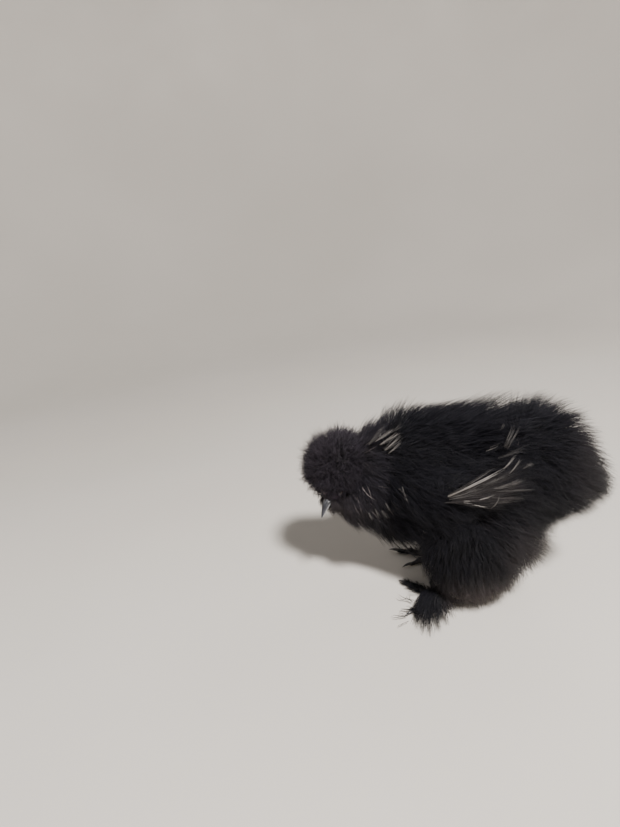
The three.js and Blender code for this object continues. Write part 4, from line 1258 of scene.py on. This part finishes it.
# Long soft locks that fall from the foot's outer side, in the foot's frame: start, tip on the floor
footLocks = {
    "seed": 97, "strands": 64, "width": 2.8, "thick": 2.6, "ragged": 0.5, "radius": 0.32, "wave": 2.0,
    "splay": -0.25, "bow": (5, -2, 9), "tipHeight": 1.5, "mapRow": 0.2, "rightScale": 0.62,
    "places": [
        ((3, 5, 13), (2, 31)), ((1, 7, 14), (1, 40)), ((-1, 8, 15), (-6, 47)), ((-3, 8, 15), (-14, 51)),
        ((-5, 8, 14), (-22, 53)), ((-6, 7, 14), (-30, 51)), ((-7, 6, 13), (-32, 40)), ((-8, 4, 13), (-31, 28)),
        ((-8, 2, 13), (-29, 15)), ((-8, 0, 12), (-25, 4)), ((0, 5, 13), (-4, 24)), ((-4, 6, 16), (-16, 36)),
    ],
}
# Single long curved hairs, on the left foot
footHairs = {
    **footLocks, "strands": 2, "width": 0.4, "thick": 0.3, "ragged": 0.1, "radius": 0.42, "bow": (0, 5, 4),
    "tipHeight": 1.0, "mapRow": 0.1,
    "places": [
        ((14, 22, 6), (38, 22)), ((14, 24, 5), (30, 14)), ((8, 34, 4), (18, 38)), ((6, 40, 4), (15, 46)),
        ((4, 44, 4), (16, 56)), ((-2, 50, 4), (2, 62)), ((20, 12, 7), (32, 8)),
    ],
}
# Short tufts down the shank and over the middle and outer toes
legTufts = {
    "seed": 101, "tufts": 160, "strands": 7, "width": 1.2, "thick": 0.9, "ragged": 0.35, "radius": 0.2,
    "wave": 0.5, "toeReach": 7.5, "shankReach": 17, "toeBelow": 14, "toeAhead": 4, "middleSpan": 0.28,
    "outerSpan": 0.4,
    "shankAbove": 12, "shankOutside": -3, "stray": 0.22, "rise": 0.18, "bow": 0.3, "rooted": 0.6,
}


def footStrands(side, spec, scale, random):
    starts = np.array([start for start, tip in spec["places"]], float)
    tips = np.array([(*tip, spec["tipHeight"]) for start, tip in spec["places"]], float)
    tips[:, :2] = starts[:, :2] + (tips[:, :2] - starts[:, :2]) * scale
    bends = (starts + tips) / 2 + np.array(spec["bow"]) * scale
    curves = [toBird(footFrames[side], points) for points in (starts, bends, tips)]
    outs = np.tile([0, 0, 1.0], (len(starts), 1))
    spots = np.stack([np.linspace(0.1, 0.9, len(starts)), np.full(len(starts), spec["mapRow"])], axis=1)
    return strandsAlong(*curves, outs, spots, 1.0, spec, random)


def addFootFeathers():
    for side, sign in outward.items():
        random = np.random.default_rng(footLocks["seed"] + sign)
        if side == "left":
            groups = [footStrands(side, footLocks, 1, random), footStrands(side, footHairs, 1, random)]
        else:
            groups = [footStrands(side, footLocks, footLocks["rightScale"], random)]
        groups.append(shortLegTufts(side, random))
        strandPiece("footFeathers" + side.title(), joinStrands(groups), plumage["body"])


def shortLegTufts(side, random):
    local = toLocal(footFrames[side], triangleMiddles)
    onLeg = (triangleParts == legPart) & (np.sign(triangleMiddles[:, 1]) == outward[side])
    onLeg &= triangleNormals[:, 2] > -0.1
    around = np.arctan2(local[:, 1], local[:, 0])
    outerTurn = math.radians(toes["outer"]["turn"][side])
    onToe = (np.abs(around) < legTufts["middleSpan"]) | (np.abs(around - outerTurn) < legTufts["outerSpan"])
    onToe &= (local[:, 2] < legTufts["toeBelow"]) & (local[:, 0] > legTufts["toeAhead"])
    onShank = (local[:, 2] >= legTufts["shankAbove"]) & (local[:, 1] > legTufts["shankOutside"])
    roots, normals = rootsOn(onLeg & (onToe | onShank), legTufts["tufts"], random)
    place = toLocal(footFrames[side], roots)
    out = normals @ footFrames[side]["axes"].T
    isToe = place[:, 2] < legTufts["shankAbove"]
    ahead = unit(np.where(isToe[:, None], place * (1, 1, 0), out * (1, 1, 0) + (0, 0.6, -0.9)))
    along = unit(ahead + random.normal(0, legTufts["stray"], ahead.shape))
    reach = np.where(isToe, legTufts["toeReach"], legTufts["shankReach"]) * random.uniform(0.6, 1.2, len(roots))
    tips = place + along * reach[:, None] + out * (reach * legTufts["rise"])[:, None]
    bends = place + along * reach[:, None] * 0.5 + out * (reach * legTufts["bow"])[:, None]
    starts = place - out * legTufts["rooted"]
    curves = [toBird(footFrames[side], points) for points in (starts, bends, tips)]
    across = 0.5 + np.arctan2(place[:, 1], place[:, 0]) / 6.4
    spots = np.stack([across, 0.3 + np.clip(place[:, 2], 0, 60) / 90], axis=1)
    return strandsAlong(*curves, normals, spots, 1.0, legTufts, random)


beak = {
    "root": (14, 0, -4.5), "length": 23, "drop": 9, "mouthGap": 0.6, "blunt": 0.35, "sections": 40,
    "sides": 32, "nostril": (7.5, 5.0, 2.6), "nostrilSize": (2.3, 2.2, 0.95), "nostrilDepth": 1.3,
}
# The lower half is shorter, flatter and narrower
beakHalves = {
    "beakUpper": {"sign": 1, "length": 23, "height": 6.2, "halfWidth": 6.4},
    "beakLower": {"sign": -1, "length": 20.24, "height": 3.41, "halfWidth": 5.6},
}


# Pale lines of painted highlight: along each cutting edge to the tip, where the edge is also pale horn, and
# from the base in to the ridge
def beakStreak(share, angle):
    edge = np.minimum(angle, np.pi - angle)
    cutting = np.exp(-((edge - 0.12) / 0.17) ** 2)
    ridge = np.exp(-((edge - 0.85 - 1.1 * share) / 0.09) ** 2)
    cutting *= np.interp(share, [0.3, 0.45, 0.95, 1], [0, 1, 0.8, 0.3])
    ridge *= np.interp(share, [0.02, 0.1, 0.45, 0.55], [0, 0.45, 0.5, 0])
    return np.maximum(cutting, ridge)


def beakPiece(name, half, node):
    sign, length = half["sign"], half["length"]
    root = np.array(beak["root"], float)
    angle = np.linspace(0, np.pi, beak["sides"])
    culmen = 1 + 0.05 * np.exp(-((angle - np.pi / 2) / 0.25) ** 2)  # stands up a little
    rings, streaks = [], []
    for share in np.linspace(0, 1, beak["sections"]):
        taper = (1 - share) ** 0.72
        drop = beak["drop"] * (share * length / beak["length"]) ** 1.7
        rise = np.sin(angle) ** 0.92 * (half["height"] * taper + 0.5) * culmen + beak["mouthGap"] / 2
        x = np.full(len(angle), root[0] + length * share)
        y = np.cos(angle) * (half["halfWidth"] * taper + beak["blunt"])
        rings.append(np.stack([x, y, root[2] - drop + sign * rise], axis=1))
        streaks.append(beakStreak(share, angle))
    points, faces = loftShell(rings)
    if sign > 0:
        for hand in (-1, 1):
            away = blobDistance(points, root + flipped(beak["nostril"], hand), beak["nostrilSize"])
            points[:, 1] -= hand * beak["nostrilDepth"] * np.clip(1.15 - away, 0, 1)
    else:
        faces = [face[::-1] for face in faces]
    streaks = np.concatenate([*streaks, [0, 0]]) * (sign > 0)
    data = meshFrom(name, toBird(headFrame, points), faces, {"streak": streaks})
    addPiece(data, grained["slateHorn"], [node])


# An eyeball turned on its own axis: pupil, iris, a bulging cornea and the white's dark rim
def eyePiece(name, sign, node):
    sections, sides = 36, 48
    rings, rim = [], []
    for k in range(1, sections):
        angle = math.pi * k / sections
        bulge = eyes["cornea"] * math.exp(-((math.degrees(angle) / eyes["iris"]) ** 2))
        radius = eyes["radius"] + bulge - 0.12  # a little inside its lids
        turn = 2 * np.pi * np.arange(sides) / sides
        flat = math.sin(angle)
        ring = np.stack([np.cos(turn) * flat, np.full(sides, math.cos(angle)), np.sin(turn) * flat], axis=1)
        rings.append(ring * radius)
        rim += [math.degrees(angle) / eyes["iris"]] * sides
    points, faces = loftShell(rings)
    points[:, 1] *= sign
    if sign > 0:
        faces = [face[::-1] for face in faces]
    turned = turnedLevel(points, -eyes["lean"] * sign) + flipped(eyes["at"], sign)
    rim += [0, 180 / eyes["iris"]]
    data = meshFrom(name, toBird(headFrame, turned), faces, {"fromPupil": rim})
    addPiece(data, eyeMaterial, [node])


bulbs = {
    "comb": {
        "at": (14, 0, 8.5), "size": (7.5, 6.8, 4.2), "voxel": 0.42, "knobs": 46, "knob": 1.25, "seed": 131,
    },
    "wattle": {"at": (13, 4.2, -14), "size": (4, 2.2, 5), "wrinkle": 0.28},
    "lobe": {"at": (-4, 13.2, -7), "size": (4.2, 2.2, 5.6), "wrinkle": 0.32},
}
# Each bulb's place in the comb's half sizes, and its own size as a share of them
combBulbs = [
    (0, 0, 0, 1), (-0.75, 0.1, 0.1, 0.72), (0.7, 0.05, -0.25, 0.62), (0.1, 0.7, -0.1, 0.66),
    (0.05, -0.72, -0.1, 0.68), (-0.55, 0.62, -0.05, 0.5), (-0.6, -0.6, -0.05, 0.52),
]


def addComb():
    spec = bulbs["comb"]
    random = np.random.default_rng(spec["seed"])
    at, size = np.array(spec["at"]), np.array(spec["size"])
    shells = []
    for x, y, z, share in combBulbs:
        middle = at + np.array([x, y, z]) * size
        shells.append(blobShell(headFrame, middle, size * (0.62, 0.6, 1) * share, 3))
    for _ in range(spec["knobs"]):  # the small knobs of a mulberry comb
        way = unit(random.normal(0, 1, 3))
        way[2] = abs(way[2]) * 0.9
        middle = at + way * size * (0.92, 0.9, 0.86)
        shells.append(blobShell(headFrame, middle, np.full(3, spec["knob"] * random.uniform(0.7, 1.25)), 2))
    data = fuseShells("comb", shells, spec["voxel"], 3)
    smoothFaces(data)
    addPiece(data, grained["combSkin"], ["comb"])


# Soft lobes and wattles: a flat bulb with shallow wrinkles down it
def addBulb(name, side, sign, material):
    spec = bulbs[name]
    ways, faces = ballGrid(5)
    wrinkle = 1 + spec["wrinkle"] * 0.12 * np.sin(ways[:, 2] * 11 + 3 * np.sin(ways[:, 0] * 5))
    droop = 1 + 0.14 * np.clip(-ways[:, 2], 0, 1)
    points = ways * np.array(spec["size"]) * (wrinkle * droop)[:, None] + np.array(flipped(spec["at"], sign))
    data = meshFrom(name + side.title(), toBird(headFrame, points), faces)
    addPiece(data, material, [name + "_" + side])


# A shallow groove under the claw
def clawGroove(k, angles):
    return 1 - 0.1 * np.exp(-((angles - 1.5 * np.pi) / 0.5) ** 2)


def addClaws():
    shells = []
    for side in outward:
        for toe in toes:
            turn = math.radians(toes[toe]["turn"][side])
            ahead = np.array([math.cos(turn), math.sin(turn), 0])
            start = toeAxis(toe, side, [1.0])[0][0] + ahead * 0.3
            shares = np.linspace(-0.12, 1, 18)
            points = start + ahead * legs["claw"] * shares[:, None]
            points[:, 2] += 1.2 + 1.5 * shares - 2.9 * shares**2
            radii = legs["clawRadius"] * np.interp(shares, [-0.12, 0, 0.35, 0.7, 1], [1.0, 1.0, 0.82, 0.5, 0.1])
            shell = tubeShell(toBird(footFrames[side], points), radii, 16, clawGroove)
            shell[0][:, 2] = np.maximum(shell[0][:, 2], 0.1)
            shells.append(shell)
    points, faces = joinShells(shells)
    nodes = ["claw_" + side + "_" + toe for side in outward for toe in toes]
    addPiece(meshFrom("claws", points, faces), grained["clawHorn"], nodes)


addCamera()
addStage(grained["paleFloor"])
addLights()
addLids()
skinNodes = ["torso", "tail", "neck", "head", "crest"]
skinNodes += [name + "_" + side for name in ("thigh", "wing", "shank", "foot") for side in outward]
addPiece(skinData, skinMaterial, skinNodes)
print("skin placed")
addCoat()
coatMeshes = [mesh for mesh in bpy.data.meshes if "OFBake" in mesh.uv_layers]
print("coat grown:", sum(len(mesh.polygons) for mesh in coatMeshes), "faces")
addBundles()
addFootFeathers()
print("feathers laid")
for name, half in beakHalves.items():
    beakPiece(name, half, name.replace("beak", "beak_").lower())
for side, sign in headSides.items():
    eyePiece("eye" + side.title(), sign, "eye_" + side)
    addBulb("wattle", side, sign, grained["combSkin"])
    addBulb("lobe", side, sign, grained["lobeSkin"])
addComb()
addClaws()
print("head and claws placed")
